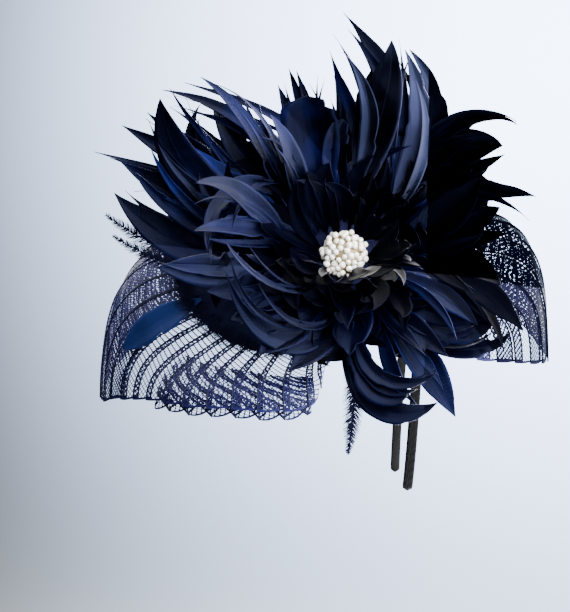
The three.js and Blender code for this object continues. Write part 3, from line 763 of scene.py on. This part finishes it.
# %% [markdown]
# ## Feathers
#
# Each feather is a cupped strip along a curved quill. The quill leaves the backing at one clock angle,
# bends towards a second and points at a third, a quadratic curve; its radius can open out early, so
# that the tip sweeps round in a hook. Its height over the flower's face rises and curls. A beta curve
# gives the width: where it is widest, and how sharp the point is. A table holds one row per main
# feather, with lengths as shares of the flower's reach. Its rows are read from the flower, apart from
# two royal ones that were added for colour.

# %% Feather surfaces
FLOWER_REACH = 150 * MM
BACKING_RADIUS = 26 * MM
BLADE_START = 0.8 * BACKING_RADIUS / FLOWER_REACH
BLADE_CUP = 0.30
BLADE_ROWS = 40
BLADE_COLUMNS = 9
BLADE_TWIST = 22
BLADE_RIPPLE = 0.06
BLADE_LEAST = 0.10 * MM
FEATHER_SKIN = 0.35 * MM
SPLITS = 4
# highest rise and curl of a companion
COMPANION_MOST = (0.3, 0.02)
COLUMNS = "root bend tip open reach width belly point rise curl roll start".split()


def split_vane(s, rng, count):
    """How much of a vane is left along it: at each split it is cut in at once and grows back out."""
    left = np.ones((count, s.shape[-1]))
    for _ in range(SPLITS):
        at = rng.uniform(0.25, 0.98, (count, 1))
        depth = rng.uniform(0.0, 0.6, (count, 1)) ** 2
        wide = rng.uniform(0.06, 0.2, (count, 1))
        left *= 1 - depth * (s >= at) * np.clip(1 - (s - at) / wide, 0, 1)
    return left


def blades(table, seed):
    """Grids of points and UVs of many feathers, one per row of the table's columns.

    clock = root (1-s)^2 + 2 bend s (1-s) + tip s^2, radius = start + (reach-start)(1-(1-s)^open),
    height = rise s + curl s^2 over a root that is higher the more the feather rises.
    """
    rng = np.random.default_rng(seed)
    rows = np.array([tuple(row) + (BLADE_START,) * (len(COLUMNS) - len(row)) for row in table], float)
    column = {name: rows[:, k, None] for k, name in enumerate(COLUMNS)}
    root, bend, tip, start = (column[name] for name in ("root", "bend", "tip", "start"))
    s = np.linspace(0, 1, BLADE_ROWS)[None]

    def quill(s):
        clock = root * (1 - s) ** 2 + 2 * bend * s * (1 - s) + tip * s * s
        opened = 1 - np.clip(1 - s, 0, 1) ** column["open"]
        radius = FLOWER_REACH * (start + (column["reach"] - start) * opened)
        low = BACKING_HEIGHT * (0.1 + 1.4 * column["rise"])
        over = column["rise"] * s + column["curl"] * s * s
        return on_flower(FLOWER_BASE, clock, radius, low + FLOWER_REACH * over)

    step = 0.01
    path = quill(s)
    forwards = unit(quill(np.minimum(s + step, 1)) - quill(s - step))
    flat = unit(np.cross(np.broadcast_to(AXIS, forwards.shape), forwards))
    up = np.cross(forwards, flat)
    twist = rng.uniform(-BLADE_TWIST, BLADE_TWIST, (len(rows), 1)) * s**2
    turn = np.radians(column["roll"] + twist)[..., None]
    aside = flat * np.cos(turn) + up * np.sin(turn)
    face = np.cross(forwards, aside)
    belly, point = column["belly"], column["point"]
    flare = point * belly / (1 - belly)
    inside = np.clip(s, 0.03, 1)
    profile = (inside / belly) ** flare * (np.clip(1 - s, 0, 1) / (1 - belly)) ** point
    half = column["width"] * FLOWER_REACH * profile / 2
    t = np.linspace(-1, 1, BLADE_COLUMNS)
    sides = np.stack([half * split_vane(s, rng, len(rows)) for _ in range(2)], axis=-1)
    sides = np.maximum(BLADE_LEAST, sides)
    u = np.where(t < 0, sides[..., :1], sides[..., 1:]) * t
    phase = rng.uniform(0, 2 * np.pi, (len(rows), 1))
    ripple = BLADE_RIPPLE * np.sin(7 * s + phase)
    cup = half[..., None] * (BLADE_CUP * np.abs(t) ** 1.3 + ripple[..., None] * t)
    points = path[:, :, None] + aside[:, :, None] * u[..., None] + face[:, :, None] * cup[..., None]
    steps = np.linalg.norm(np.diff(path, axis=1), axis=-1)
    length = np.concatenate([np.zeros((len(rows), 1)), np.cumsum(steps, axis=1)], axis=1)
    v = np.broadcast_to(length[..., None], u.shape) + rng.uniform(0, 1, (len(rows), 1, 1))
    return np.concatenate([points, u[..., None], v[..., None]], axis=-1)


def companions(table, seed, count=2):
    """Narrow feathers that lie beside the ones of a table, each swung, shortened and rolled a little."""
    rng = np.random.default_rng(seed)
    rows = np.repeat(np.array(table, float), count, axis=0)
    size = len(rows)
    rows[:, :3] += rng.normal(0, 5, (size, 1)) + rng.normal(0, (3.0, 6.0, 5.0), (size, 3))
    rows[:, 4] *= rng.uniform(0.78, 1.0, size)
    rows[:, 5] *= rng.uniform(0.3, 0.6, size)
    rows[:, 7] *= rng.uniform(1.0, 1.7, size)
    rows[:, 8:10] = np.minimum(rows[:, 8:10] + rng.normal(0, (0.03, 0.025), (size, 2)), COMPANION_MOST)
    rows[:, 10] += rng.normal(0, 18, size)
    return rows


def feather_piece(name, grids, finish, slot, *nodes):
    """One piece from many feather grids, each with a thickness of its own."""
    points, faces = join_grids(list(grids), grid_faces(BLADE_ROWS, BLADE_COLUMNS))
    piece = make_piece(name, points[:, :3], faces, points[:, 3:])
    # how far across the blade each point lies; the finish paints a highlight near the edge
    edge = np.abs(np.linspace(-1, 1, BLADE_COLUMNS))
    mark(piece, "edge", np.broadcast_to(edge, (len(grids), BLADE_ROWS, BLADE_COLUMNS)))
    dress(piece, finish, slot, *nodes)
    skin = piece.modifiers.new("skin", "SOLIDIFY")
    skin.thickness = FEATHER_SKIN
    skin.offset = 0
    return piece


# root, bend, tip, open, reach, width, belly, point, rise, curl, roll
FEATHERS = {
    "navy": [
        (149, 154, 157.5, 1.0, 1.13, 0.06, 0.50, 1.2, 0.10, 0.00, 20),
        (150, 149, 150, 1.0, 1.07, 0.10, 0.60, 1.2, 0.12, 0.02, 10),
        (145, 145, 143.5, 1.0, 1.03, 0.09, 0.60, 1.2, 0.08, 0.00, 0),
        (142, 144, 137, 1.0, 0.99, 0.045, 0.40, 1.0, 0.18, 0.02, 0),
        (112, 121, 138, 1.0, 1.02, 0.07, 0.55, 1.1, 0.16, 0.00, 0),
        (70, 117, 132.5, 1.0, 0.99, 0.04, 0.55, 1.0, 0.12, 0.00, 0),
        (166, 162, 158, 1.0, 1.00, 0.15, 0.55, 1.1, 0.14, 0.00, 0),
        (186, 184, 166, 1.0, 0.98, 0.21, 0.50, 1.1, 0.16, 0.00, 0),
        (172, 168, 153, 1.2, 0.67, 0.11, 0.55, 1.0, 0.20, 0.02, 0),
        (135, 138, 130, 1.0, 0.86, 0.16, 0.45, 1.0, 0.10, 0.00, 0),
        (110, 110, 110.5, 1.0, 0.785, 0.10, 0.50, 1.1, 0.08, 0.00, 0),
        (104, 103, 106, 1.0, 0.83, 0.07, 0.60, 1.1, 0.10, 0.00, 0),
        (103, 102, 104, 1.0, 0.81, 0.06, 0.60, 1.1, 0.11, 0.00, 0),
        (112, 106, 104, 1.0, 0.64, 0.24, 0.80, 0.25, 0.22, 0.04, 0),
        (88, 88, 90, 1.0, 0.69, 0.12, 0.60, 1.1, 0.10, 0.00, 0),
        (86, 84, 80, 1.0, 0.83, 0.12, 0.50, 1.2, 0.16, 0.00, 0),
        (45, 66, 90, 1.0, 1.00, 0.15, 0.55, 1.5, 0.20, 0.02, 0),
        (45, 64, 89, 1.0, 0.92, 0.10, 0.55, 1.5, 0.22, 0.02, 0),
        (30, 34, 31, 1.0, 0.78, 0.13, 0.50, 1.2, 0.16, 0.00, 0),
        (-4, 17, 24, 1.0, 0.60, 0.18, 0.55, 0.9, 0.36, 0.00, 10),
        (0, 4, 5, 1.0, 0.67, 0.13, 0.50, 1.1, 0.18, 0.00, 0),
        (16, -4, -16, 1.0, 0.65, 0.14, 0.65, 1.0, 0.26, 0.00, 0),
        (352, 348, 333, 1.0, 0.80, 0.14, 0.60, 1.1, 0.24, 0.00, 0),
        (320, 322, 331, 1.0, 0.68, 0.28, 0.60, 0.8, 0.22, -0.04, 0),
        (303, 309, 312, 1.0, 0.61, 0.13, 0.55, 1.0, 0.20, 0.00, 0),
        (275, 275, 292, 1.8, 0.665, 0.13, 0.60, 1.1, 0.24, -0.06, 10),
        (271, 271, 300, 2.2, 0.74, 0.10, 0.66, 1.1, 0.22, -0.06, 0),
        (280, 276, 272, 1.0, 0.45, 0.18, 0.55, 0.9, 0.18, 0.00, 0),
        (262, 255, 246, 1.0, 0.56, 0.16, 0.50, 1.1, 0.16, 0.00, 0),
        (240, 236, 232, 1.0, 0.57, 0.17, 0.55, 1.0, 0.18, 0.02, 0),
        (222, 218, 213, 1.0, 0.56, 0.18, 0.50, 1.0, 0.18, 0.00, 0),
        (206, 204, 198, 1.0, 0.60, 0.16, 0.50, 1.1, 0.18, 0.00, 0),
        (266, 246, 194, 3.0, 0.50, 0.11, 0.45, 1.4, 0.26, 0.06, 0),
    ],
    "royal": [
        (180, 176, 160.5, 1.0, 0.91, 0.07, 0.60, 0.7, 0.22, 0.00, 0),
        (25, 32, 13, 1.0, 0.79, 0.11, 0.60, 1.2, 0.30, 0.00, 10),
        (2, 5, 13, 1.0, 0.645, 0.13, 0.72, 0.9, 0.26, 0.00, 0),
        (340, 335, 326, 1.0, 0.63, 0.09, 0.60, 1.0, 0.30, 0.00, 0),
        (309, 305, 302.5, 1.0, 0.825, 0.14, 0.62, 1.1, 0.18, -0.04, 0),
        (60, 52, 44, 1.0, 0.76, 0.10, 0.60, 1.1, 0.20, 0.00, 10),
        (150, 150, 146, 1.0, 0.74, 0.10, 0.55, 1.0, 0.20, 0.00, 0),
    ],
    "violet": [
        (165, 164, 141, 1.0, 0.98, 0.19, 0.62, 0.95, 0.22, 0.02, -15),
        (144, 121, 131, 1.0, 0.90, 0.09, 0.45, 1.0, 0.30, 0.02, 25),
        (140, 115, 121, 1.0, 0.60, 0.10, 0.50, 1.0, 0.34, 0.00, 15),
        (184, 141, 161.5, 1.0, 0.64, 0.10, 0.50, 0.9, 0.38, 0.02, 15),
        (160, 166, 178, 1.0, 0.615, 0.10, 0.50, 1.0, 0.34, 0.00, 5),
        (240, 216, 181, 1.0, 0.49, 0.03, 0.50, 0.8, 0.34, 0.02, 0),
        (128, 137, 185, 2.5, 0.56, 0.09, 0.60, 1.0, 0.30, 0.00, 10),
        (195, 191, 187, 1.0, 0.77, 0.15, 0.58, 1.0, 0.22, 0.00, 0),
        (298, 313, 332, 1.6, 0.755, 0.08, 0.65, 1.2, 0.18, 0.00, 0),
    ],
    "sheen": [
        (84, 80, 93, 1.0, 0.755, 0.13, 0.60, 1.2, 0.14, 0.00, 0),
        (82, 70, 77, 1.0, 0.86, 0.20, 0.58, 1.0, 0.32, 0.00, -20),
        (42, 50, 73, 1.0, 0.86, 0.12, 0.55, 1.1, 0.26, 0.00, -10),
        (50, 32, 72, 1.0, 0.89, 0.09, 0.68, 0.9, 0.20, 0.00, -15),
        (47, 61, 35, 1.3, 0.865, 0.09, 0.60, 1.0, 0.26, 0.00, -20),
        (40, 52, 33, 1.1, 0.78, 0.22, 0.60, 0.9, 0.20, 0.00, 0),
    ],
}
for seed, (dye, table) in enumerate(FEATHERS.items()):
    grids = np.concatenate([blades(table, seed), blades(companions(table, 50 + seed), 60 + seed)])
    feather_piece(f"feathers_{dye}", grids, finishes[dye], "navy_feather", "feather_flower")
    print(len(grids), dye, "feathers")

# One broad blue feather hangs inside the front of the net and shows through it.
INSIDE_NET = [(196, 197, 200, 1.0, 1.00, 0.13, 0.55, 0.8, -0.24, 0.0, 0, 0.62)]
faded = feather_finish("faded blue feather", (0.004, 0.008, 0.036, 1), (0.014, 0.028, 0.12, 1), 0.4, 0.05)
feather_piece("feather_inside_net", blades(INSIDE_NET, 77), faded, "navy_feather", "feather_flower")

# %% [markdown]
# ## Under-feathers
#
# Between the long feathers the flower is packed with broad dark ones, so that no gap shows the pad.
# Their near black colour is painted shade, for the shadow deep inside the flower.
# They stand in rings, and a short table says how far the dark mass reaches at each clock angle. Each
# feather has a little chance in its angle, length and rise, drawn from a seeded generator so that
# every run makes the same flower.

# %% Under-feathers
# clock angle, and reach of the dark mass as a share of the flower's reach
MASS = np.array([
    (0, 0.60), (15, 0.62), (32, 0.70), (50, 0.72), (70, 0.72), (90, 0.62), (110, 0.64), (130, 0.78),
    (150, 0.84), (165, 0.78), (180, 0.68), (198, 0.58), (215, 0.50), (232, 0.50), (250, 0.46),
    (270, 0.43), (290, 0.48), (308, 0.54), (325, 0.62), (342, 0.64), (360, 0.60),
])
# feathers in the ring, share of the mass, width, rise, start
UNDER_RINGS = [
    (46, 1.00, 0.12, 0.06, 0.139), (44, 0.88, 0.13, 0.11, 0.139), (36, 0.68, 0.10, 0.17, 0.139),
    (26, 0.50, 0.08, 0.22, 0.12), (22, 0.40, 0.07, 0.30, 0.085),
]


def under_rows(seed):
    """Rows of the feather table for the rings of dark feathers."""
    rng = np.random.default_rng(seed)
    rings = []
    for count, share, width, rise, start in UNDER_RINGS:
        clock = np.arange(count) * 360 / count + rng.uniform(-7, 7, count)
        mass = np.interp(clock % 360, MASS[:, 0], MASS[:, 1])
        swing = rng.uniform(-42, 42, count)
        rings.append(np.stack([
            clock - swing * 0.6, clock - swing * 0.3, clock + swing * 0.4, rng.uniform(0.9, 1.7, count),
            mass * share * rng.uniform(0.82, 1.08, count), width * rng.uniform(0.6, 1.3, count),
            rng.uniform(0.4, 0.6, count), rng.uniform(1.0, 1.9, count), rise * rng.uniform(0.6, 1.3, count),
            rng.uniform(-0.03, 0.05, count), rng.uniform(-35, 35, count), np.full(count, start),
        ], axis=-1))
    return np.concatenate(rings)


# the under-feathers wear the shade copy: painted shade
feather_piece("under_feathers", blades(under_rows(21), 9), finishes["shade"], "navy_feather", "feather_flower")

# %% [markdown]
# ## The pad
#
# The flower is sewn to a round dark pad, a stiff disc covered in short soft feathers whose fine barbs
# fray past its edge. The disc is a shallow dome; the fray is many fine hairs that fan out from it.

# %% Pad
PAD_RADIUS = 72 * MM
PAD_HEIGHT = 61 * MM
PAD_SHIFT = 36 * MM
PAD_EDGE = 1.6 * MM
PAD_CROWN = 5 * MM
PAD_BACK = FLOWER_BASE_HEIGHT - CLEARANCE - PAD_CROWN - PAD_EDGE
# share of the pad's size, share of its edge, share of its crown
PAD_ROWS = np.array([
    (0.0, 0.0, 0.0), (0.6, 0.0, 0.0), (0.985, 0.0, 0.0), (1.0, 0.4, 0.0), (0.985, 0.9, 0.04),
    (0.88, 1.0, 0.25), (0.7, 1.0, 0.58), (0.5, 1.0, 0.84), (0.36, 1.0, 0.95), (0.0, 1.0, 1.0),
])


def on_pad(angle, size, height):
    """Points over the oval: an ellipse scaled by size, whose centre slides to the flower's as it shrinks."""
    across = size * (PAD_RADIUS * np.cos(angle) - PAD_SHIFT)
    up = size * PAD_HEIGHT * np.sin(angle)
    height = np.asarray(height)
    return (GATHER_CENTRE + across[..., None] * ACROSS + up[..., None] * UP
            + (PAD_BACK + height)[..., None] * AXIS)


def pad_disc():
    angle = np.linspace(0, 2 * np.pi, 180, endpoint=False)[None]
    size, edge, crown = (PAD_ROWS[:, k, None] for k in range(3))
    barbed = size * (1 - 0.02 * np.abs(np.sin(angle * 15)))
    height = np.broadcast_to(PAD_EDGE * edge + PAD_CROWN * crown, barbed.shape)
    points = on_pad(np.broadcast_to(angle, barbed.shape), barbed, height)
    return make_piece("pad_disc", points.reshape(-1, 3), grid_faces(len(PAD_ROWS), 180, close_columns=True))


pad_finish = Finish("dark pad feather", Roughness=0.75)
pad_finish.shader.inputs["Specular IOR Level"].default_value = 0.05
hairs = pad_finish.noise(pad_finish.place(), 900.0, 3.0)
pad_finish.bump(hairs, 0.3 * MM)
pad_finish.feed("Base Color", pad_finish.colour_between(
    (0.0005, 0.0006, 0.003, 1), (0.003, 0.0036, 0.02, 1), hairs,
))
dress(pad_disc(), pad_finish, "dark_feather", "feather_pad")

# %% [markdown]
# ## Hairs
#
# Herls, the frayed pad edge and the thin hackle are all the same thing: fine hairs. One hair is a
# three-sided needle along a short bent path, nine faces in all, and thousands of them are worked
# out in one array.

# %% Hairs
HAIR_ROWS = 4


def needles(roots, tips, bend, radius):
    """Three-sided needles from roots to tips, bowed by a vector, thinning to nothing."""
    s = np.linspace(0, 1, HAIR_ROWS)[None, :, None]
    path = roots[:, None] * (1 - s) + tips[:, None] * s + bend[:, None] * (4 * s * (1 - s))
    forwards = unit(tips - roots)
    side = unit(np.cross(forwards, np.array([0.31, 0.52, 0.8])))
    over = np.cross(forwards, side)
    turn = np.arange(3) * 2 * np.pi / 3
    ring = side[:, None] * np.cos(turn)[None, :, None] + over[:, None] * np.sin(turn)[None, :, None]
    thin = radius * (1 - 0.8 * s[..., None])
    return path[:, :, None] + ring[:, None] * thin


def hair_piece(name, grids, finish, slot, *nodes):
    faces = grid_faces(HAIR_ROWS, 3, close_columns=True)
    points, faces = join_grids(list(grids), faces)
    piece = make_piece(name, points, faces)
    dress(piece, finish, slot, *nodes)
    return piece


def pad_fray(count, seed):
    """Hairs that lean out past the pad's edge."""
    rng = np.random.default_rng(seed)
    angle = rng.uniform(0, 2 * np.pi, count)
    swing = rng.uniform(-0.12, 0.12, count)
    height = PAD_EDGE * rng.uniform(0.4, 1.6, count)
    roots = on_pad(angle, rng.uniform(0.75, 0.97, count), height)
    tips = on_pad(angle + swing, rng.uniform(0.99, 1.07, count), height + rng.uniform(-1, 2.0, count) * MM)
    bend = rng.normal(0, 0.4 * MM, (count, 3))
    return needles(roots, tips, bend, 0.2 * MM)


hair_piece("pad_fray", pad_fray(5200, 4), pad_finish, "dark_feather", "feather_pad")


# clock at the root, clock at the tip, root radius, tip radius, barb length, all in degrees and mm
WISPS = [
    (181, 169, 60, 153, 8.0),
    (186, 174, 60, 146, 8.0),
    (276, 271, 48, 123, 8.0),
]
WISP_BARBS = 361


def wisp(row, seed):
    """A bent quill with fine barbs that leave it on both sides, slanting to its tip."""
    rng = np.random.default_rng(seed)
    root, tip, start, end, barb = row
    s = np.linspace(0, 1, WISP_BARBS)
    clock = root + (tip - root) * s**1.5
    radius = (start + (end - start) * s) * MM
    centre = GATHER_CENTRE + (PAD_BACK + PAD_EDGE) * AXIS
    path = on_flower(centre, clock, radius, 2 * MM * s)
    forwards = unit(np.gradient(path, axis=0))
    side = unit(np.cross(forwards, AXIS))
    pieces = (WISP_BARBS - 1) // 4
    stem = needles(path[:-4:4][:pieces], path[4::4][:pieces], np.zeros((pieces, 3)), 0.45 * MM)
    length = barb * MM * np.sin(np.pi * (0.15 + 0.8 * s))[:, None] * rng.uniform(0.6, 1.2, (WISP_BARBS, 1))
    fans = []
    for direction in (-1, 1):
        spread = 0.3 * rng.normal(0, 1, (WISP_BARBS, 1)) * AXIS
        reach = path + length * (0.75 * forwards + direction * 0.8 * side + spread)
        fans.append(needles(path, reach, rng.normal(0, 0.6 * MM, (WISP_BARBS, 3)), 0.3 * MM))
    return np.concatenate([stem] + fans)


wisp_grids = np.concatenate([wisp(row, 30 + k) for k, row in enumerate(WISPS)])
hair_piece("herls_and_hackle", wisp_grids, pad_finish, "dark_feather", "feather_pad")

# %% [markdown]
# ## The flower's backing
#
# The feathers are sewn to a small dark dome on the pad. It is a profile of radius and height turned
# about the flower's axis, and its flat top carries the pearls.

# %% Backing
BACKING_PROFILE = np.array([
    (0.0, 0.0), (1.0, 0.0), (1.0, 0.35), (0.8, 0.75), (0.6, 0.97), (0.46, 1.0), (0.0, 1.0),
])


def turned(name, profile, centre, radius, height, columns=72):
    """A piece from a profile of shares of radius and height, turned about the flower's axis."""
    clock = np.linspace(0, 360, columns, endpoint=False)[None]
    radii, heights = (np.broadcast_to(profile[:, k, None] * size, (len(profile), columns))
                      for k, size in ((0, radius), (1, height)))
    points = on_flower(centre, np.broadcast_to(clock, radii.shape), radii, heights).reshape(-1, 3)
    return make_piece(name, points, grid_faces(len(profile), columns, close_columns=True))


backing = turned("flower_backing", BACKING_PROFILE, FLOWER_BASE, BACKING_RADIUS, BACKING_HEIGHT)
dress(backing, pad_finish, "navy_feather", "feather_flower")

# %% [markdown]
# ## Pearls
#
# The centre is a button sewn all over with glass pearls. Each pearl is a small sphere worked out once
# and repeated at places spread evenly over a dome by the golden angle, with a little chance in size
# and in how far it stands out. Pearl is a soft ivory body under a clear, hard coat. Between the pearls
# shows the button itself, in old gold.

# %% Pearls
PEARL_COUNT = 64
PEARL_RADIUS = 2.15 * MM
CLUSTER_RADIUS = 16 * MM
CLUSTER_HEIGHT = 13 * MM
GOLDEN_TURN = 180 * (3 - math.sqrt(5))


def sphere(rows=11, columns=16):
    """A unit sphere whose poles are rows of equal points."""
    down = np.linspace(0, np.pi, rows)[:, None]
    turn = np.linspace(0, 2 * np.pi, columns, endpoint=False)[None]
    return np.stack(np.broadcast_arrays(
        np.sin(down) * np.cos(turn), np.sin(down) * np.sin(turn), np.cos(down)
    ), axis=-1)


def pearls():
    rng = np.random.default_rng(12)
    share = (np.arange(PEARL_COUNT) + 0.5) / PEARL_COUNT
    lean = np.arccos(1 - share)
    clock = GOLDEN_TURN * np.arange(PEARL_COUNT) + rng.uniform(-5, 5, PEARL_COUNT)
    radius = (CLUSTER_RADIUS - PEARL_RADIUS) * np.sin(lean)
    height = PEARL_RADIUS + (CLUSTER_HEIGHT - 2 * PEARL_RADIUS) * np.cos(lean)
    lumps = rng.uniform(0.9, 1.08, PEARL_COUNT)
    centres = on_flower(GATHER_CENTRE + PEARL_BASE * AXIS, clock, radius * lumps, height * lumps)
    size = PEARL_RADIUS * rng.uniform(0.8, 1.08, PEARL_COUNT)
    ball = sphere()
    grids = centres[:, None, None] + ball[None] * size[:, None, None, None]
    points, faces = join_grids(list(grids), grid_faces(*ball.shape[:2], close_columns=True))
    return make_piece("pearls", points, faces)


pearl_finish = Finish("pearl", Roughness=0.22, Coat_Weight=0.6, Coat_Roughness=0.08)
tint = pearl_finish.noise(pearl_finish.place(), 260.0)
pearl_finish.feed("Base Color", pearl_finish.colour_between(
    (0.30, 0.27, 0.21, 1), (0.52, 0.5, 0.44, 1), tint,
))
dress(pearls(), pearl_finish, "pearl", "pearl_cluster")

BUTTON_PROFILE = np.array([
    (0.0, 0.0), (1.0, 0.0), (1.0, 0.2), (0.9, 0.55), (0.65, 0.85), (0.35, 0.97), (0.0, 1.0),
])
# The button stays this far inside the dome of pearls.
BUTTON_INSET = 1.3 * PEARL_RADIUS
button_finish = Finish("old gold button", Roughness=0.5, Metallic=0.6)
specks = button_finish.noise(button_finish.place(), 900.0)
button_finish.feed("Base Color", button_finish.colour_between(
    (0.02, 0.012, 0.004, 1), (0.16, 0.11, 0.04, 1), specks,
))
button = turned(
    "pearl_button", BUTTON_PROFILE, GATHER_CENTRE + PEARL_BASE * AXIS,
    CLUSTER_RADIUS - BUTTON_INSET, CLUSTER_HEIGHT - BUTTON_INSET,
)
dress(button, button_finish, "pearl", "pearl_cluster")

# %% [markdown]
# ## Stage and light
#
# A pale sweep of paper runs under the headpiece and up behind it. Its light is painted: the paper
# glows by itself, brightest behind the flower. Four panels light the piece.
#
# Known fault: the rows that place each panel are read as columns, so all four stand at the origin,
# inside the net, and not where the calls say. Their powers and the finishes were tuned that way. It
# leaves the part of the flower and net that lies behind and above the origin almost unlit.

# %% Stage
FLOOR = -0.32
STAGE_HALF = 3.2
STAGE_FRONT = 1.6
STAGE_BACK = -0.4
STAGE_BEND = 0.9
STAGE_TOP = 3.0


def stage():
    """A floor that curves up into a wall: straight, a quarter circle, straight."""
    bend = np.linspace(0, np.pi / 2, 25)
    x = np.concatenate([[STAGE_FRONT], STAGE_BACK - STAGE_BEND * np.sin(bend), [STAGE_BACK - STAGE_BEND]])
    z = np.concatenate([[0], STAGE_BEND * (1 - np.cos(bend)), [STAGE_TOP]]) + FLOOR
    y = np.linspace(-STAGE_HALF, STAGE_HALF, 5)
    points = np.stack(np.broadcast_arrays(x[:, None], y[None], z[:, None]), axis=-1)
    return make_piece("paper_sweep", points.reshape(-1, 3), grid_faces(len(x), 5))


# Painted light on the paper: a glow brightest up at the back behind the headpiece, falling to grey low at the
# front.
GLOW_CENTRE = np.array([0, 0.32, 0.32])
GLOW_RADIUS = 1.0
GLOW_STOPS = ((0.0, (6.2, 7.6, 10.8, 1)), (1.0, (0.03, 0.03, 0.025, 1)))

paper = Finish("pale paper", Roughness=0.95)
paper.shader.inputs["Specular IOR Level"].default_value = 0.0
paper.shader.inputs["Base Color"].default_value = (0.16, 0.165, 0.16, 1)
paper.shader.inputs["Emission Strength"].default_value = 1.0
away = paper.node(
    "ShaderNodeVectorMath", {"operation": "MULTIPLY"},
    i0=paper.place(), i1=(0.0, 1 / GLOW_RADIUS, 1 / GLOW_RADIUS),
)
away = paper.node(
    "ShaderNodeVectorMath", {"operation": "DISTANCE"}, output=1, i0=away, i1=GLOW_CENTRE / GLOW_RADIUS,
)
glow = paper.node("ShaderNodeValToRGB", i0=away)
glow.socket.node.color_ramp.interpolation = "EASE"
for stop, (position, colour) in zip(glow.socket.node.color_ramp.elements, GLOW_STOPS):
    stop.position = position
    stop.color = colour
paper.feed("Emission Color", glow)
sweep = stage()
sweep.data.materials.append(paper.material)

world = bpy.data.worlds.new("studio")
world.use_nodes = True
world.node_tree.nodes["Background"].inputs["Color"].default_value = (0.85, 0.9, 1.0, 1)
world.node_tree.nodes["Background"].inputs["Strength"].default_value = 0.05
bpy.context.scene.world = world


def panel(name, place, target, size, power, colour):
    """A soft rectangular light. It ends up at the origin, as told above, and not at its place."""
    data = bpy.data.lights.new(name, "AREA")
    data.shape = "RECTANGLE"
    data.size, data.size_y = size
    data.energy = power
    data.color = colour
    light = bpy.data.objects.new(name, data)
    forwards = unit(np.array(target) - np.array(place))
    side = unit(np.cross(forwards, [0, 0, 1]))
    over = np.cross(side, forwards)
    light.matrix_world = [
        [side[k], over[k], -forwards[k], place[k]] for k in range(3)
    ] + [[0, 0, 0, 1]]
    bpy.context.scene.collection.objects.link(light)


panel("key", (1.7, -1.1, 1.3), (0.05, -0.05, 0), (0.6, 0.6), 7, (0.93, 0.96, 1.0))
panel("front", (1.7, -0.7, -0.05), (0.05, -0.05, 0), (0.4, 0.4), 10, (0.93, 0.96, 1.0))
panel("fill", (1.1, 1.3, 1.5), (0.05, -0.05, 0.05), (0.5, 0.5), 10, (0.9, 0.92, 1.0))
panel("top", (0.1, -0.2, 1.7), (0.0, -0.05, 0), (0.6, 0.6), 7, (1.0, 1.0, 1.0))
